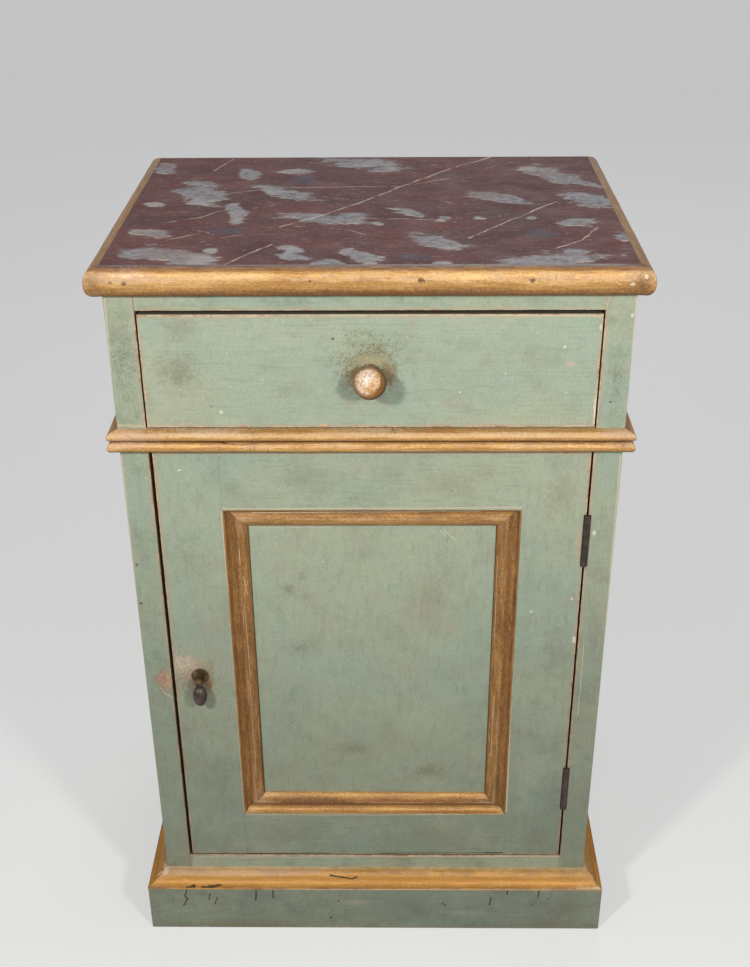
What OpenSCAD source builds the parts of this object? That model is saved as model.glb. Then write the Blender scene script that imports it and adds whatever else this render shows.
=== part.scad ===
// Bedside pot cupboard: a painted pine carcass with one drawer over one panelled door.
// Millimetres, +Z up. The origin is on the floor, under the middle of the whole box.
// x runs to the right. Every module is drawn with y = 0 on the carcass's front face
// and y growing towards the back, and at_front() then sets it about the origin.

/* [Carcass] */
// Width over the two side boards
case_w = 440; // [400:1:500]
// Depth of the side boards, front edge to back edge
case_d = 328; // [300:1:400]
// Thickness of the side boards
side_t = 25; // [22:0.5:30]
// Thickness of the bottom board
bottom_t = 20; // [16:0.5:24]
// Height of the bottom board's front edge that shows above the base moulding
bottom_show = 16.5; // [12:0.5:19]
// Height of the door's opening
door_open_h = 482; // [420:1:560]
// Thickness of the rail between the door and the drawer
divider_t = 21; // [20.5:0.5:26]
// Depth of that rail, front to back
divider_d = 75; // [60:1:90]
// Height of the drawer's opening
drawer_open_h = 108.5; // [95:0.5:130]
// Thickness of the two rails under the top
top_rail_t = 15; // [13:0.5:20]
// Depth of those rails, front to back
top_rail_d = 60; // [45:1:80]
// Length of the dovetail at each end of those rails
rail_tail = 14; // [10:0.5:18]
// Depth of the housings cut in the side boards
housing_d = 8; // [6:0.5:10]
// Distance that a stopped housing keeps from the front edge
housing_stop = 12; // [8:0.5:20]
// Width of those dovetails at their roots
rail_tail_w = 30; // [24:1:34]
// Thickness of the tongues that sit in the drawer rail's housing
tongue_t = 12; // [8:0.5:16]
// Width of the drawer runners
runner_w = 35; // [30:1:45]
// Width of the kickers over the drawer's sides
kicker_w = 24; // [18:1:35]
// Thickness of the dust panel under the drawer
dust_t = 6; // [4:0.5:8]
// Depth of the grooves that hold the dust panel
dust_groove = 8; // [5:0.5:12]

/* [Back] */
// Thickness of the back boards
back_t = 10; // [8:0.5:14]
// Width of the rebate that the back boards sit in
back_rebate = 12; // [8:0.5:15]
// Height of the back boards' lower ends above the floor
back_foot = 30; // [10:1:60]
// Length of the back boards' tongues
back_tongue = 5; // [3:0.5:7]
// Thickness of the back boards' tongues
back_tongue_t = 3.5; // [2.5:0.5:5]

/* [Top] */
// Thickness of the top board
top_t = 25; // [20:0.5:30]
// Reach of the half-round nosing past the top board's edge
nosing_reach = 12; // [8:0.5:12.5]
// Distance of the nosing's lower edge below the top board
nosing_drop = 1.2; // [0:0.1:3]

/* [Mouldings] */
// Reach of the moulding that covers the drawer rail
mid_reach = 9; // [8:0.5:12]
// Radius of that moulding's upper bead
mid_bead_top = 4.1; // [3.5:0.1:4.2]
// Radius of that moulding's lower bead
mid_bead_low = 5.1; // [4:0.1:5.2]
// Width of the groove between the two beads
mid_groove = 1.1; // [0.8:0.1:1.2]
// Height of the plinth
plinth_h = 56; // [45:1:75]
// Thickness of the plinth boards, which is also how far they stand out
plinth_t = 19; // [16:0.5:24]
// Height of the moulding on top of the plinth
base_h = 14; // [11:0.5:18]
// Flat above the base moulding's round
base_lip = 3.6; // [1:0.1:4]
// Width of the flat at the base moulding's foot
base_foot_w = 1.2; // [0.5:0.1:3]
// Height of the edge at the base moulding's foot
base_foot_h = 2.5; // [1.5:0.1:4]
// Size of the glue blocks behind the plinth
glue_block = 28; // [20:1:40]
// Clearance of the glue blocks above the floor
glue_lift = 6; // [3:0.5:15]

/* [Door] */
// Thickness of the door's frame
door_t = 22; // [20:0.5:25]
// Width of the two stiles
stile_w = 58; // [48:1:66]
// Height of the top rail
door_rail_top_h = 59; // [48:1:70]
// Height of the bottom rail
door_rail_low_h = 56; // [48:1:80]
// Gap at the door's free edge
door_gap_free = 3; // [2.5:0.1:3.5]
// Gap at the door's hinge edge
door_gap_hinge = 2; // [1.6:0.1:2.4]
// Gap above and below the door
door_gap_v = 2; // [1.5:0.1:3]
// Recess of the panel behind the door's face
panel_recess = 10; // [9:0.5:11]
// Thickness of the panel, the tenons and the groove that takes both
panel_t = 6; // [5:0.5:7]
// Depth of that groove
panel_groove = 8; // [6:0.5:10]
// Play left round the panel's edges for the wood to move
panel_play = 0.5; // [0.3:0.1:1]
// Length of the door's tenons
tenon_l = 40; // [30:1:44]
// Play left past a tenon's end
tenon_play = 1; // [0.5:0.1:2]
// Shoulder above and below a tenon
tenon_shoulder = 9; // [8.5:0.5:14]

/* [Panel moulding] */
// Width of the moulding planted round the panel
frame_mould_w = 21.5; // [20.5:0.1:21.8]
// Distance of the moulding's outer edge behind the door's face
frame_mould_drop = 0.5; // [0.3:0.1:1]
// Width of the flat at its outer edge
frame_mould_lip = 1.5; // [1:0.1:2]
// Distance of the moulding's ridge in from its outer edge
frame_mould_ridge = 13.4; // [13:0.1:13.8]
// Height of the hollow's floor above the panel
frame_mould_floor = 4; // [3.8:0.1:4.2]
// Radius of the hollow
frame_mould_hollow = 4.8; // [4.6:0.1:5]
// Radius of the bead that the ridge runs along
frame_mould_bead = 9; // [8.7:0.1:9.2]

/* [Butt hinges] */
// Length of each hinge
hinge_l = 54; // [45:1:64]
// Height of the lower hinge's middle above the door's foot
hinge_low_up = 92; // [80:1:120]
// Distance of the upper hinge's middle below the door's head
hinge_top_down = 91; // [80:1:120]
// Radius of the knuckles
knuckle_r = 3; // [2.8:0.1:3.4]
// Radius of the pins
hinge_pin_r = 1.25; // [1:0.05:1.4]
// Running clearance round the pins
hinge_fit = 0.05; // [0.03:0.01:0.1]
// Thickness of the leaves
leaf_t = 1.5; // [1.2:0.1:2]
// Width of the leaves, from the pin's axis
leaf_w = 20; // [17:0.5:21]
// Number of knuckles on each hinge
knuckles = 5; // [3:2:5]
// End play between neighbouring knuckles
knuckle_play = 0.3; // [0.2:0.1:0.5]
// Clearance cut in the wood round the knuckles
knuckle_room = 0.4; // [0.3:0.1:0.6]
// Length of the hinge screws
screw_l = 15; // [10:1:18]
// Radius of the screws' shanks
screw_r = 1.5; // [1.2:0.1:1.8]
// Radius of the screws' heads
screw_head_r = 3; // [2.5:0.1:3.4]
// Spacing of the screws along a leaf
screw_pitch = 18; // [14:1:20]

/* [Drawer] */
// Gap at each side of the drawer's front
drawer_gap_side = 1.5; // [1:0.1:2.5]
// Gap above the drawer's front
drawer_gap_top = 3.5; // [1:0.1:4]
// Gap below the drawer's front
drawer_gap_low = 1; // [0.8:0.1:2]
// Thickness of the drawer's front
drawer_front_t = 22; // [20:0.5:24]
// Wood left in front of the half-blind dovetails
drawer_lap = 7; // [5:0.5:9]
// Room behind the shut drawer, up to the back boards
drawer_room = 18; // [10:1:40]
// Thickness of the drawer's sides
drawer_side_t = 10; // [8:0.5:13]
// Distance of the drawer's sides in from the ends of its front
drawer_side_in = 0.5; // [0.3:0.1:1]
// Clearance between the drawer's sides and the runners
drawer_ride = 0.2; // [0.1:0.1:0.4]
// Clearance above the drawer's sides
drawer_side_clear = 5; // [4:0.1:10]
// Distance of the drawer's back below its sides' top edges
drawer_back_drop = 6; // [3:1:15]
// Thickness of the drawer's back
drawer_back_t = 10; // [8:0.5:13]
// Thickness of the drawer's bottom
drawer_base_t = 6; // [4:0.5:7]
// Height of the drawer's bottom above its sides' lower edges
drawer_base_up = 8; // [7:0.5:12]
// Depth of the grooves that hold the drawer's bottom
drawer_groove = 5; // [3:0.5:6]
// Number of dovetails at each corner
tail_count = 3; // [2:1:4]
// Share of the corner's height that the tails take at their wide ends
tail_share = 0.62; // [0.5:0.01:0.7]
// Slope of a dovetail's cheek, as run over rise
tail_slope = 0.16; // [0.12:0.01:0.2]
// Height of the stops that the drawer's front shuts against
stop_h = 5.5; // [4:0.5:6.5]
// Width of one stop
stop_w = 40; // [25:1:60]
// Depth of one stop, front to back
stop_d = 18; // [12:1:30]
// Distance of each stop from the middle
stop_x = 100; // [60:1:120]
// Gap between the shut drawer's front and its stops
stop_gap = 0.1; // [0:0.1:0.5]
// Radius of the knob's ball
knob_r = 14.3; // [12:0.1:17]
// Distance of the ball's middle in front of the drawer
knob_out = 18; // [16:0.5:20]
// Distance of the knob below the middle of the drawer's front
knob_low = 2; // [0:0.5:6]
// Radius of the knob's neck
knob_neck_r = 6.5; // [5.5:0.1:7.5]
// Radius of the ring at the knob's foot
knob_foot_r = 9.5; // [8:0.1:12]
// Thickness of that ring
knob_foot_t = 1.6; // [1:0.1:3]
// Radius of the tenon that holds the knob
knob_tenon_r = 6; // [5:0.1:6.4]
// Clearance round that tenon
knob_fit = 0.05; // [0.02:0.01:0.1]

/* [Latch and drop] */
// Distance of the handle in from the door's free edge
handle_in = 25; // [23:1:32]
// Height of the handle above the door's foot
handle_up = 233.5; // [180:0.5:300]
// Radius of the handle's rose
rose_r = 8.5; // [7:0.1:11]
// Thickness of the rose at its middle
rose_t = 2.2; // [1.6:0.1:3]
// Thickness of the rose at its rim
rose_rim = 0.8; // [0.5:0.1:1.2]
// Radius of the spindle through the door
spindle_r = 3; // [2.5:0.1:3.5]
// Running clearance round the spindle
spindle_fit = 0.1; // [0.05:0.01:0.1]
// Radius of the ball on the spindle's front end
ball_r = 4.2; // [4:0.1:5]
// Distance of the ball's middle in front of the door
ball_out = 11; // [10.5:0.5:14]
// Width of the slot in the ball
ball_slot = 3; // [2.6:0.1:3.4]
// Thickness of the collar in front of the rose
collar_t = 1.5; // [1:0.1:2.5]
// Radius of that collar
collar_r = 4.2; // [3.8:0.1:5]
// Thickness of the door's stop strip
door_stop_t = 8; // [6:0.5:12]
// Width of the door's stop strip
door_stop_w = 12; // [10:0.5:14]
// Gap between the shut door and the stop strip
door_stop_gap = 0.1; // [0:0.1:0.3]
// Thickness of the latch's tongue
latch_t = 3; // [2:0.1:4]
// Width of the latch's tongue
latch_w = 12; // [9:0.5:14]
// Reach of the tongue from the spindle's axis
latch_reach = 24; // [20:0.5:25]
// Gap between the tongue and the stop strip that it turns behind
latch_gap = 0.5; // [0.3:0.1:1]
// Radius of the tongue's hub
hub_r = 7; // [6.5:0.1:9]
// Gap between the door's back and the hub
hub_gap = 0.2; // [0.1:0.1:0.5]
// Side of the square that the tongue sits on
square_w = 4.2; // [3.6:0.1:4.6]
// Clearance round that square and the drop's pin
seat_fit = 0.05; // [0.02:0.01:0.08]
// Radius of the stub that the nut turns on
stub_r = 1.9; // [1.5:0.1:2.1]
// Length of that stub past the nut
stub_show = 1.5; // [1:0.1:3]
// Side of the nut
nut_w = 8; // [7:0.1:10]
// Thickness of the nut
nut_t = 3.2; // [2.5:0.1:4]
// Radius of the drop's pin
drop_pin_r = 1; // [0.8:0.05:1.2]
// Distance of the pin's ends below the ball's surface
drop_pin_sink = 0.2; // [0.1:0.1:0.5]
// Thickness of the drop's eye
eye_t = 2.4; // [2:0.1:2.4]
// Radius of the drop's eye
eye_r = 2.6; // [2.3:0.1:2.8]
// Clearance round the eye in the slot
eye_room = 0.4; // [0.4:0.1:0.6]
// Radius of the drop at its widest
drop_r = 6.8; // [6:0.1:7]
// Distance of the drop's widest place below the pin
drop_down = 14.5; // [13.5:0.5:15]
// Length of the drop below its widest place
drop_low = 12.5; // [11:0.5:14]
// Radius of the drop's neck
drop_neck_r = 1.8; // [1.4:0.1:2.1]

/* [Hidden] */
$fn = 48;

// Colours
paint_green = [0.62, 0.68, 0.56];
gilt = [0.72, 0.53, 0.24];
gilt_brown = [0.56, 0.37, 0.17];
marble_red = [0.33, 0.21, 0.20];
pine = [0.74, 0.60, 0.42];
old_iron = [0.24, 0.20, 0.18];
old_brass = [0.42, 0.34, 0.20];

// Number of upright back boards, which is also the number of their nodes
back_count = 3;

// Extra length of a cut past the surface it leaves through
cut = 1;

// Heights, from the floor up
bottom_top = plinth_h + base_h + bottom_show;
bottom_z = bottom_top - bottom_t;
divider_z = bottom_top + door_open_h;
divider_top = divider_z + divider_t;
rail_z = divider_top + drawer_open_h;
case_top = rail_z + top_rail_t;
overall_h = case_top + top_t;

// Widths and depths of the carcass
case_x = case_w / 2;
inner_x = case_x - side_t;
back_y = case_d - back_t;
tongue_z = divider_z + (divider_t - tongue_t) / 2;
dust_z = divider_z + (divider_t - dust_t) / 2;
runner_x = inner_x - runner_w;
back_half = inner_x + back_rebate - panel_play;
back_w = 2 * back_half / back_count;
front_rail_y = top_rail_d / 2;
back_rail_y = back_y - top_rail_d / 2;
back_tongue_y = back_y + (back_t - back_tongue_t) / 2;
tail_flare = rail_tail * tail_slope;

// The nosing is a slice of a round bar, and covers the top board's edge
nosing_z = case_top - nosing_drop;
nosing_h = overall_h - nosing_z;
nosing_r = (nosing_reach * nosing_reach + nosing_h * nosing_h / 4) / (2 * nosing_reach);

// Beads of the middle moulding, from its lower edge up
mid_low = [mid_reach - mid_bead_low, mid_bead_low];
mid_top = [mid_reach - mid_bead_top, 2 * mid_bead_low + mid_groove + mid_bead_top];

// The base moulding's round and hollow have one radius and meet in a common tangent
base_u = plinth_t - base_foot_w;
base_run = base_u - base_lip;
base_drop = base_h - base_foot_h;
base_r = (base_run * base_run + base_drop * base_drop) / (4 * base_drop);
base_round = [base_lip, base_h - base_r];
base_hollow = [base_u, base_foot_h + base_r];
base_bend = (base_round + base_hollow) / 2;

// Door, its frame and the opening in the frame
door_l = -inner_x + door_gap_free;
door_r = inner_x - door_gap_hinge;
door_z = bottom_top + door_gap_v;
door_top = divider_z - door_gap_v;
open_l = door_l + stile_w;
open_r = door_r - stile_w;
open_z = door_z + door_rail_low_h;
open_top = door_top - door_rail_top_h;
open_w = open_r - open_l;
open_h = open_top - open_z;
open_x = (open_l + open_r) / 2;
open_mid_z = (open_z + open_top) / 2;
panel_back = panel_recess + panel_t;

// The panel moulding's hollow starts at its lip, and its bead is tangent to the hollow
mould_top = panel_recess - frame_mould_drop;
hollow_v = frame_mould_floor + frame_mould_hollow;
hollow_u = frame_mould_lip
    + sqrt(pow(frame_mould_hollow, 2) - pow(hollow_v - mould_top, 2));
bead_u = frame_mould_ridge;
bead_v = hollow_v
    - sqrt(pow(frame_mould_hollow + frame_mould_bead, 2) - pow(bead_u - hollow_u, 2));
bend_share = frame_mould_hollow / (frame_mould_hollow + frame_mould_bead);
bend_u = hollow_u + (bead_u - hollow_u) * bend_share;

// Hinges: the pins' axis lies in the door's face, in the middle of its gap
hinge_x = inner_x - door_gap_hinge / 2;
hinge_low_z = door_z + hinge_low_up;
hinge_top_z = door_top - hinge_top_down;
knuckle_l = hinge_l / knuckles;
knuckle_cut = knuckle_r + knuckle_room;
screw_y = (knuckle_cut + leaf_w) / 2;
screw_rows = [-screw_pitch, 0, screw_pitch];
screw_head_h = screw_head_r - screw_r;
screw_slot = 0.7;

// Drawer
drawer_half = inner_x - drawer_gap_side;
drawer_z = divider_top + drawer_gap_low;
drawer_top = rail_z - drawer_gap_top;
side_out = drawer_half - drawer_side_in;
side_in = side_out - drawer_side_t;
side_z = divider_top + drawer_ride;
side_top = rail_z - drawer_side_clear;
base_z = side_z + drawer_base_up;
base_top = base_z + drawer_base_t;
drawer_back_z = base_top;
drawer_back_top = side_top - drawer_back_drop;
drawer_l = back_y - drawer_room;
drawer_back_y = drawer_l - drawer_back_t;
knob_z = (drawer_z + drawer_top) / 2 - knob_low;
knob_reach = knob_out + knob_r;

// Latch and drop
handle_x = door_l + handle_in;
handle_z = door_z + handle_up;
stop_y = door_t + door_stop_gap;
latch_y = stop_y + door_stop_t + latch_gap;
drop_pin_l = 2 * (sqrt(pow(ball_r, 2) - pow(drop_pin_r, 2)) - drop_pin_sink);
rose_dome = rose_t - rose_rim;
rose_dome_r = (rose_r * rose_r + rose_dome * rose_dome) / (2 * rose_dome);

// The drop's upper half is part of an oval that has the neck's radius at its upper end
drop_neck_z = ball_r + eye_room;
drop_rise = (drop_down - drop_neck_z) / sqrt(1 - pow(drop_neck_r / drop_r, 2));

// Depth of the carcass's face in front of the origin
face_y = (knob_reach - case_d) / 2;

// Sets what is drawn from the carcass's front face about the origin
module at_front() {
    translate([0, face_y, 0]) children();
}

// A box from its lowest to its highest corner
module block(low, high) {
    translate(low) cube(high - low);
}

// The child, or its mirror image across the middle, for the left side
module on_side(left) {
    if (left) mirror([1, 0, 0]) children();
    else children();
}

// A round bar from the first y to the second, along the y axis
module bar_y(radius, from_y, to_y) {
    translate([0, to_y, 0]) rotate([90, 0, 0]) cylinder(r = radius, h = to_y - from_y);
}

// A solid turned about the y axis, drawn as radius and distance forward
module turned_y() {
    rotate([90, 0, 0]) rotate_extrude() children();
}

// An outline in y and z, drawn out along x between two places
module across(from_x, to_x) {
    translate([from_x, 0, 0]) rotate([90, 0, 90]) linear_extrude(to_x - from_x) children();
}

// ---- Moulding profiles: x is the reach from the wall, y is up ----

// Half-round nosing
module nosing_profile() {
    intersection() {
        translate([nosing_reach - nosing_r, nosing_h / 2]) circle(r = nosing_r, $fn = 96);
        square([nosing_reach, nosing_h]);
    }
}

// Two beads with a groove between them, and a slope down to the upper one
module middle_profile() {
    square([min(mid_low[0], mid_top[0]), mid_top[1]]);
    translate(mid_low) circle(r = mid_bead_low);
    intersection() {
        hull() {
            translate([-cut, mid_top[1]]) square([cut, divider_t - mid_top[1]]);
            translate(mid_top) circle(r = mid_bead_top);
        }
        translate([0, mid_top[1] - mid_bead_top]) square([mid_reach, divider_t]);
    }
}

// Round over a hollow, down to a small square foot
module base_profile() {
    difference() {
        polygon([
            [0, 0], [plinth_t, 0], [plinth_t, base_foot_h], [base_u, base_foot_h],
            [base_u, base_bend[1]], base_bend, [base_bend[0], base_h], [0, base_h]
        ]);
        translate(base_hollow) circle(r = base_r, $fn = 96);
        difference() {
            translate([base_lip, base_bend[1]])
                square([base_bend[0] - base_lip + cut, base_h - base_bend[1] + cut]);
            translate(base_round) circle(r = base_r, $fn = 96);
        }
    }
}

// Lip, hollow and bead of the moulding round the panel: x runs inwards, y to the front
module frame_profile() {
    square([frame_mould_lip, mould_top]);
    difference() {
        square([bend_u, mould_top]);
        translate([hollow_u, hollow_v]) circle(r = frame_mould_hollow);
    }
    intersection() {
        translate([bead_u, bead_v]) circle(r = frame_mould_bead, $fn = 96);
        translate([bend_u - cut, 0]) square([frame_mould_w - bend_u + cut, mould_top]);
    }
}

// ---- Mitred runs round the front and sides ----

// A profile along the front, mitred at both ends: wall_y is the face that it sits on
module front_run(reach, low_z, height) {
    end_x = case_x + reach;
    intersection() {
        translate([0, 0, low_z]) rotate([90, 0, -90])
            linear_extrude(2 * end_x, center = true) children();
        translate([0, 0, low_z]) linear_extrude(height)
            polygon([[-case_x, 0], [-end_x, -reach], [end_x, -reach], [case_x, 0]]);
    }
}

// A profile along the right side, mitred at the front and square at the back
module side_run(reach, low_z, height) {
    intersection() {
        translate([case_x, case_d, low_z]) rotate([90, 0, 0])
            linear_extrude(case_d + reach) children();
        translate([0, 0, low_z]) linear_extrude(height)
            polygon([
                [case_x, 0], [case_x + reach, -reach],
                [case_x + reach, case_d], [case_x, case_d]
            ]);
    }
}

// ---- Carcass ----

// Dovetail of a top rail, open at the top of the side board
module rail_dovetail(mid_y) {
    half = rail_tail_w / 2;
    translate([0, mid_y, rail_z]) linear_extrude(top_rail_t)
        polygon([
            [inner_x - cut, -half], [inner_x, -half],
            [inner_x + rail_tail, -half - tail_flare],
            [inner_x + rail_tail, half + tail_flare],
            [inner_x, half], [inner_x - cut, half]
        ]);
}

// Right side board with its housings, dovetail sockets and back rebate
module side_board() {
    difference() {
        block([inner_x, 0, 0], [case_x, case_d, case_top]);
        block([inner_x - cut, back_y, -cut],
            [inner_x + back_rebate, case_d + cut, case_top + cut]);
        block([inner_x - cut, housing_stop, bottom_z],
            [inner_x + housing_d, back_y + cut, bottom_top]);
        block([inner_x - cut, housing_stop, tongue_z],
            [inner_x + housing_d, back_y + cut, tongue_z + tongue_t]);
        rail_dovetail(front_rail_y);
        rail_dovetail(back_rail_y);
    }
}

module side_left() {
    color(paint_green) at_front() on_side(true) side_board();
}

module side_right() {
    color(paint_green) at_front() difference() {
        side_board();
        hinge_gains(true);
    }
}

// Bottom board, notched round the front ends of its housings
module bottom_board() {
    color(pine) at_front() {
        block([-inner_x, 0, bottom_z], [inner_x, back_y, bottom_top]);
        block([-inner_x - housing_d, housing_stop, bottom_z],
            [inner_x + housing_d, back_y, bottom_top]);
    }
}

// Rail between the drawer and the door, with a groove for the dust panel behind
module divider_rail() {
    color(paint_green) at_front() difference() {
        union() {
            block([-inner_x, 0, divider_z], [inner_x, divider_d, divider_top]);
            block([-inner_x - housing_d, housing_stop, tongue_z],
                [inner_x + housing_d, divider_d, tongue_z + tongue_t]);
        }
        block([-runner_x - dust_groove, divider_d - dust_groove, dust_z],
            [runner_x + dust_groove, divider_d + cut, dust_z + dust_t]);
    }
}

// Runner that carries the right side of the drawer
module runner() {
    color(pine) at_front() difference() {
        union() {
            block([runner_x, divider_d, divider_z], [inner_x, back_y, divider_top]);
            block([runner_x, divider_d, tongue_z],
                [inner_x + housing_d, back_y, tongue_z + tongue_t]);
        }
        block([runner_x - cut, divider_d - cut, dust_z],
            [runner_x + dust_groove, back_y + cut, dust_z + dust_t]);
    }
}

module runner_left() {
    on_side(true) runner();
}

module runner_right() {
    runner();
}

// Thin panel in the grooves of the rail and the runners
module dust_panel() {
    half = runner_x + dust_groove - panel_play;
    color(pine) at_front() block(
        [-half, divider_d - dust_groove + panel_play, dust_z],
        [half, back_y, dust_z + dust_t]
    );
}

// Rail under the top, dovetailed into both side boards
module top_rail(mid_y, tint) {
    color(tint) at_front() {
        block([-inner_x, mid_y - top_rail_d / 2, rail_z],
            [inner_x, mid_y + top_rail_d / 2, case_top]);
        rail_dovetail(mid_y);
        on_side(true) rail_dovetail(mid_y);
    }
}

module top_rail_front() {
    top_rail(front_rail_y, paint_green);
}

module top_rail_back() {
    top_rail(back_rail_y, pine);
}

// Strip above the drawer's right side, which stops the open drawer tipping
module kicker() {
    color(pine) at_front() block(
        [inner_x - kicker_w, top_rail_d, rail_z],
        [inner_x, back_y - top_rail_d, case_top]
    );
}

module kicker_left() {
    on_side(true) kicker();
}

module kicker_right() {
    kicker();
}

// One upright back board: a groove on its left edge, a tongue on its right
module back_board(place) {
    left = -back_half + place * back_w;
    right = left + back_w;
    color(pine) at_front() {
        difference() {
            block([left, back_y, back_foot], [right, case_d, case_top]);
            if (place > 0)
                block([left - cut, back_tongue_y, back_foot - cut],
                    [left + back_tongue + panel_play,
                        back_tongue_y + back_tongue_t, case_top + cut]);
        }
        if (place < back_count - 1)
            block([right - cut, back_tongue_y, back_foot],
                [right + back_tongue, back_tongue_y + back_tongue_t, case_top]);
    }
}

module back_board_left() {
    back_board(0);
}

module back_board_middle() {
    back_board(1);
}

module back_board_right() {
    back_board(2);
}

// ---- Top ----

module top_board() {
    color(marble_red) at_front() block([-case_x, 0, case_top], [case_x, case_d, overall_h]);
}

module nosing_front() {
    color(gilt) at_front() front_run(nosing_reach, nosing_z, nosing_h) nosing_profile();
}

module nosing_side() {
    color(gilt) at_front() side_run(nosing_reach, nosing_z, nosing_h) nosing_profile();
}

module nosing_left() {
    on_side(true) nosing_side();
}

module nosing_right() {
    nosing_side();
}

// ---- Middle moulding, over the drawer rail's edge ----

module middle_moulding_front() {
    color(gilt) at_front() front_run(mid_reach, divider_z, divider_t) middle_profile();
}

module middle_moulding_side() {
    color(gilt) at_front() side_run(mid_reach, divider_z, divider_t) middle_profile();
}

module middle_moulding_left() {
    on_side(true) middle_moulding_side();
}

module middle_moulding_right() {
    middle_moulding_side();
}

// ---- Plinth and base moulding ----

module plinth_front() {
    color(paint_green) at_front() front_run(plinth_t, 0, plinth_h)
        square([plinth_t, plinth_h]);
}

module plinth_side() {
    color(paint_green) at_front() side_run(plinth_t, 0, plinth_h)
        square([plinth_t, plinth_h]);
}

module plinth_left() {
    on_side(true) plinth_side();
}

module plinth_right() {
    plinth_side();
}

module base_moulding_front() {
    color(gilt) at_front() front_run(plinth_t, plinth_h, base_h) base_profile();
}

module base_moulding_side() {
    color(gilt) at_front() side_run(plinth_t, plinth_h, base_h) base_profile();
}

module base_moulding_left() {
    on_side(true) base_moulding_side();
}

module base_moulding_right() {
    base_moulding_side();
}

// Three-cornered glue blocks: one in each front corner and one in the middle
module plinth_blocks() {
    color(pine) at_front() translate([0, 0, glue_lift]) {
        for (left = [false, true])
            on_side(left) linear_extrude(bottom_z - glue_lift)
                polygon([[inner_x, 0], [inner_x - glue_block, 0], [inner_x, glue_block]]);
        linear_extrude(bottom_z - glue_lift)
            polygon([[-glue_block, 0], [glue_block, 0], [0, glue_block]]);
    }
}

// ---- Stops ----

// Two small blocks on the drawer rail, behind the drawer's front
module drawer_stops() {
    color(pine) at_front() for (left = [false, true])
        on_side(left) translate([stop_x, drawer_front_t + stop_gap, divider_top])
            cube([stop_w, stop_d, stop_h]);
}

// Strip on the left side board that the shut door rests against
module door_stop() {
    color(pine) at_front() block(
        [-inner_x, stop_y, bottom_top],
        [-inner_x + door_stop_w, stop_y + door_stop_t, divider_z]
    );
}

// ---- Butt hinges ----

// What is cut for both hinges, from the side board or from the door
module hinge_gains(in_case) {
    for (z = [hinge_low_z, hinge_top_z]) translate([hinge_x, 0, z]) {
        cylinder(r = knuckle_cut, h = hinge_l, center = true);
        on_side(!in_case) {
            block([door_gap_hinge / 2 - cut, -cut, -hinge_l / 2],
                [door_gap_hinge / 2 + leaf_t, leaf_w, hinge_l / 2]);
            for (row = screw_rows) translate([door_gap_hinge / 2, screw_y, row])
                rotate([0, 90, 0]) cylinder(r = screw_r + seat_fit, h = screw_l + cut);
        }
    }
}

// Countersunk screw, driven along +x with its head's face at x = 0
module screw() {
    difference() {
        rotate([0, 90, 0]) rotate_extrude() polygon([
            [0, 0], [screw_head_r, 0], [screw_r, screw_head_h],
            [screw_r, screw_l - screw_r], [0, screw_l]
        ]);
        block([-cut, -screw_slot / 2, -screw_head_r],
            [screw_head_h / 2, screw_slot / 2, screw_head_r]);
    }
}

// One leaf about the pin's axis: its plate lies on +x, its knuckles are the even or odd ones
module hinge_leaf(first, fit) {
    half = hinge_l / 2;
    near_x = door_gap_hinge / 2;
    difference() {
        union() {
            block([near_x, knuckle_cut, -half], [near_x + leaf_t, leaf_w, half]);
            for (k = [first : 2 : knuckles - 1]) {
                low = -half + k * knuckle_l + knuckle_play / 2;
                high = low + knuckle_l - knuckle_play;
                block([near_x, 0, low], [near_x + leaf_t, knuckle_cut + cut, high]);
                translate([0, 0, low]) cylinder(r = knuckle_r, h = high - low);
            }
        }
        cylinder(r = hinge_pin_r + fit, h = hinge_l + cut, center = true);
        for (row = screw_rows) translate([near_x, screw_y, row]) rotate([0, 90, 0])
            cylinder(r1 = screw_head_r + seat_fit, r2 = screw_r + seat_fit, h = screw_head_h);
        for (row = screw_rows) translate([near_x - cut, screw_y, row]) rotate([0, 90, 0])
            cylinder(r = screw_r + seat_fit, h = leaf_t + 2 * cut);
    }
}

module case_leaf(height) {
    color(old_iron) at_front() translate([hinge_x, 0, height]) hinge_leaf(0, seat_fit / 2);
}

module door_leaf(height) {
    color(old_iron) at_front() translate([hinge_x, 0, height])
        on_side(true) hinge_leaf(1, hinge_fit);
}

module hinge_case_leaf_upper() {
    case_leaf(hinge_top_z);
}

module hinge_case_leaf_lower() {
    case_leaf(hinge_low_z);
}

module hinge_door_leaf_upper() {
    door_leaf(hinge_top_z);
}

module hinge_door_leaf_lower() {
    door_leaf(hinge_low_z);
}

module hinge_pins() {
    color(old_iron) at_front() for (z = [hinge_low_z, hinge_top_z])
        translate([hinge_x, 0, z]) cylinder(r = hinge_pin_r, h = hinge_l, center = true);
}

// The screws of both hinges, into the side board or into the door
module hinge_screws(in_case) {
    color(old_iron) at_front() for (z = [hinge_low_z, hinge_top_z], row = screw_rows)
        translate([hinge_x, screw_y, z + row]) on_side(!in_case)
            translate([door_gap_hinge / 2, 0, 0]) screw();
}

module case_screws() {
    hinge_screws(true);
}

module door_screws() {
    hinge_screws(false);
}

// ---- Door ----

// Tenon and haunch at a rail's right end, outwards from the opening's edge
module rail_end(edge_x, low_z, high_z) {
    block([edge_x - cut, panel_recess, low_z],
        [edge_x + panel_groove, panel_back, high_z]);
    block([edge_x - cut, panel_recess, low_z + tenon_shoulder - panel_groove],
        [edge_x + tenon_l, panel_back, high_z - tenon_shoulder]);
}

// Both rails' ends, as cut in a stile with room past the tenons
module stile_mortises(edge_x) {
    for (span = [[door_z, open_z - panel_groove], [open_top + panel_groove, door_top]])
        block([edge_x - cut, panel_recess, span[0] + tenon_shoulder - panel_groove],
            [edge_x + tenon_l + tenon_play, panel_back, span[1] - tenon_shoulder]);
}

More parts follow.
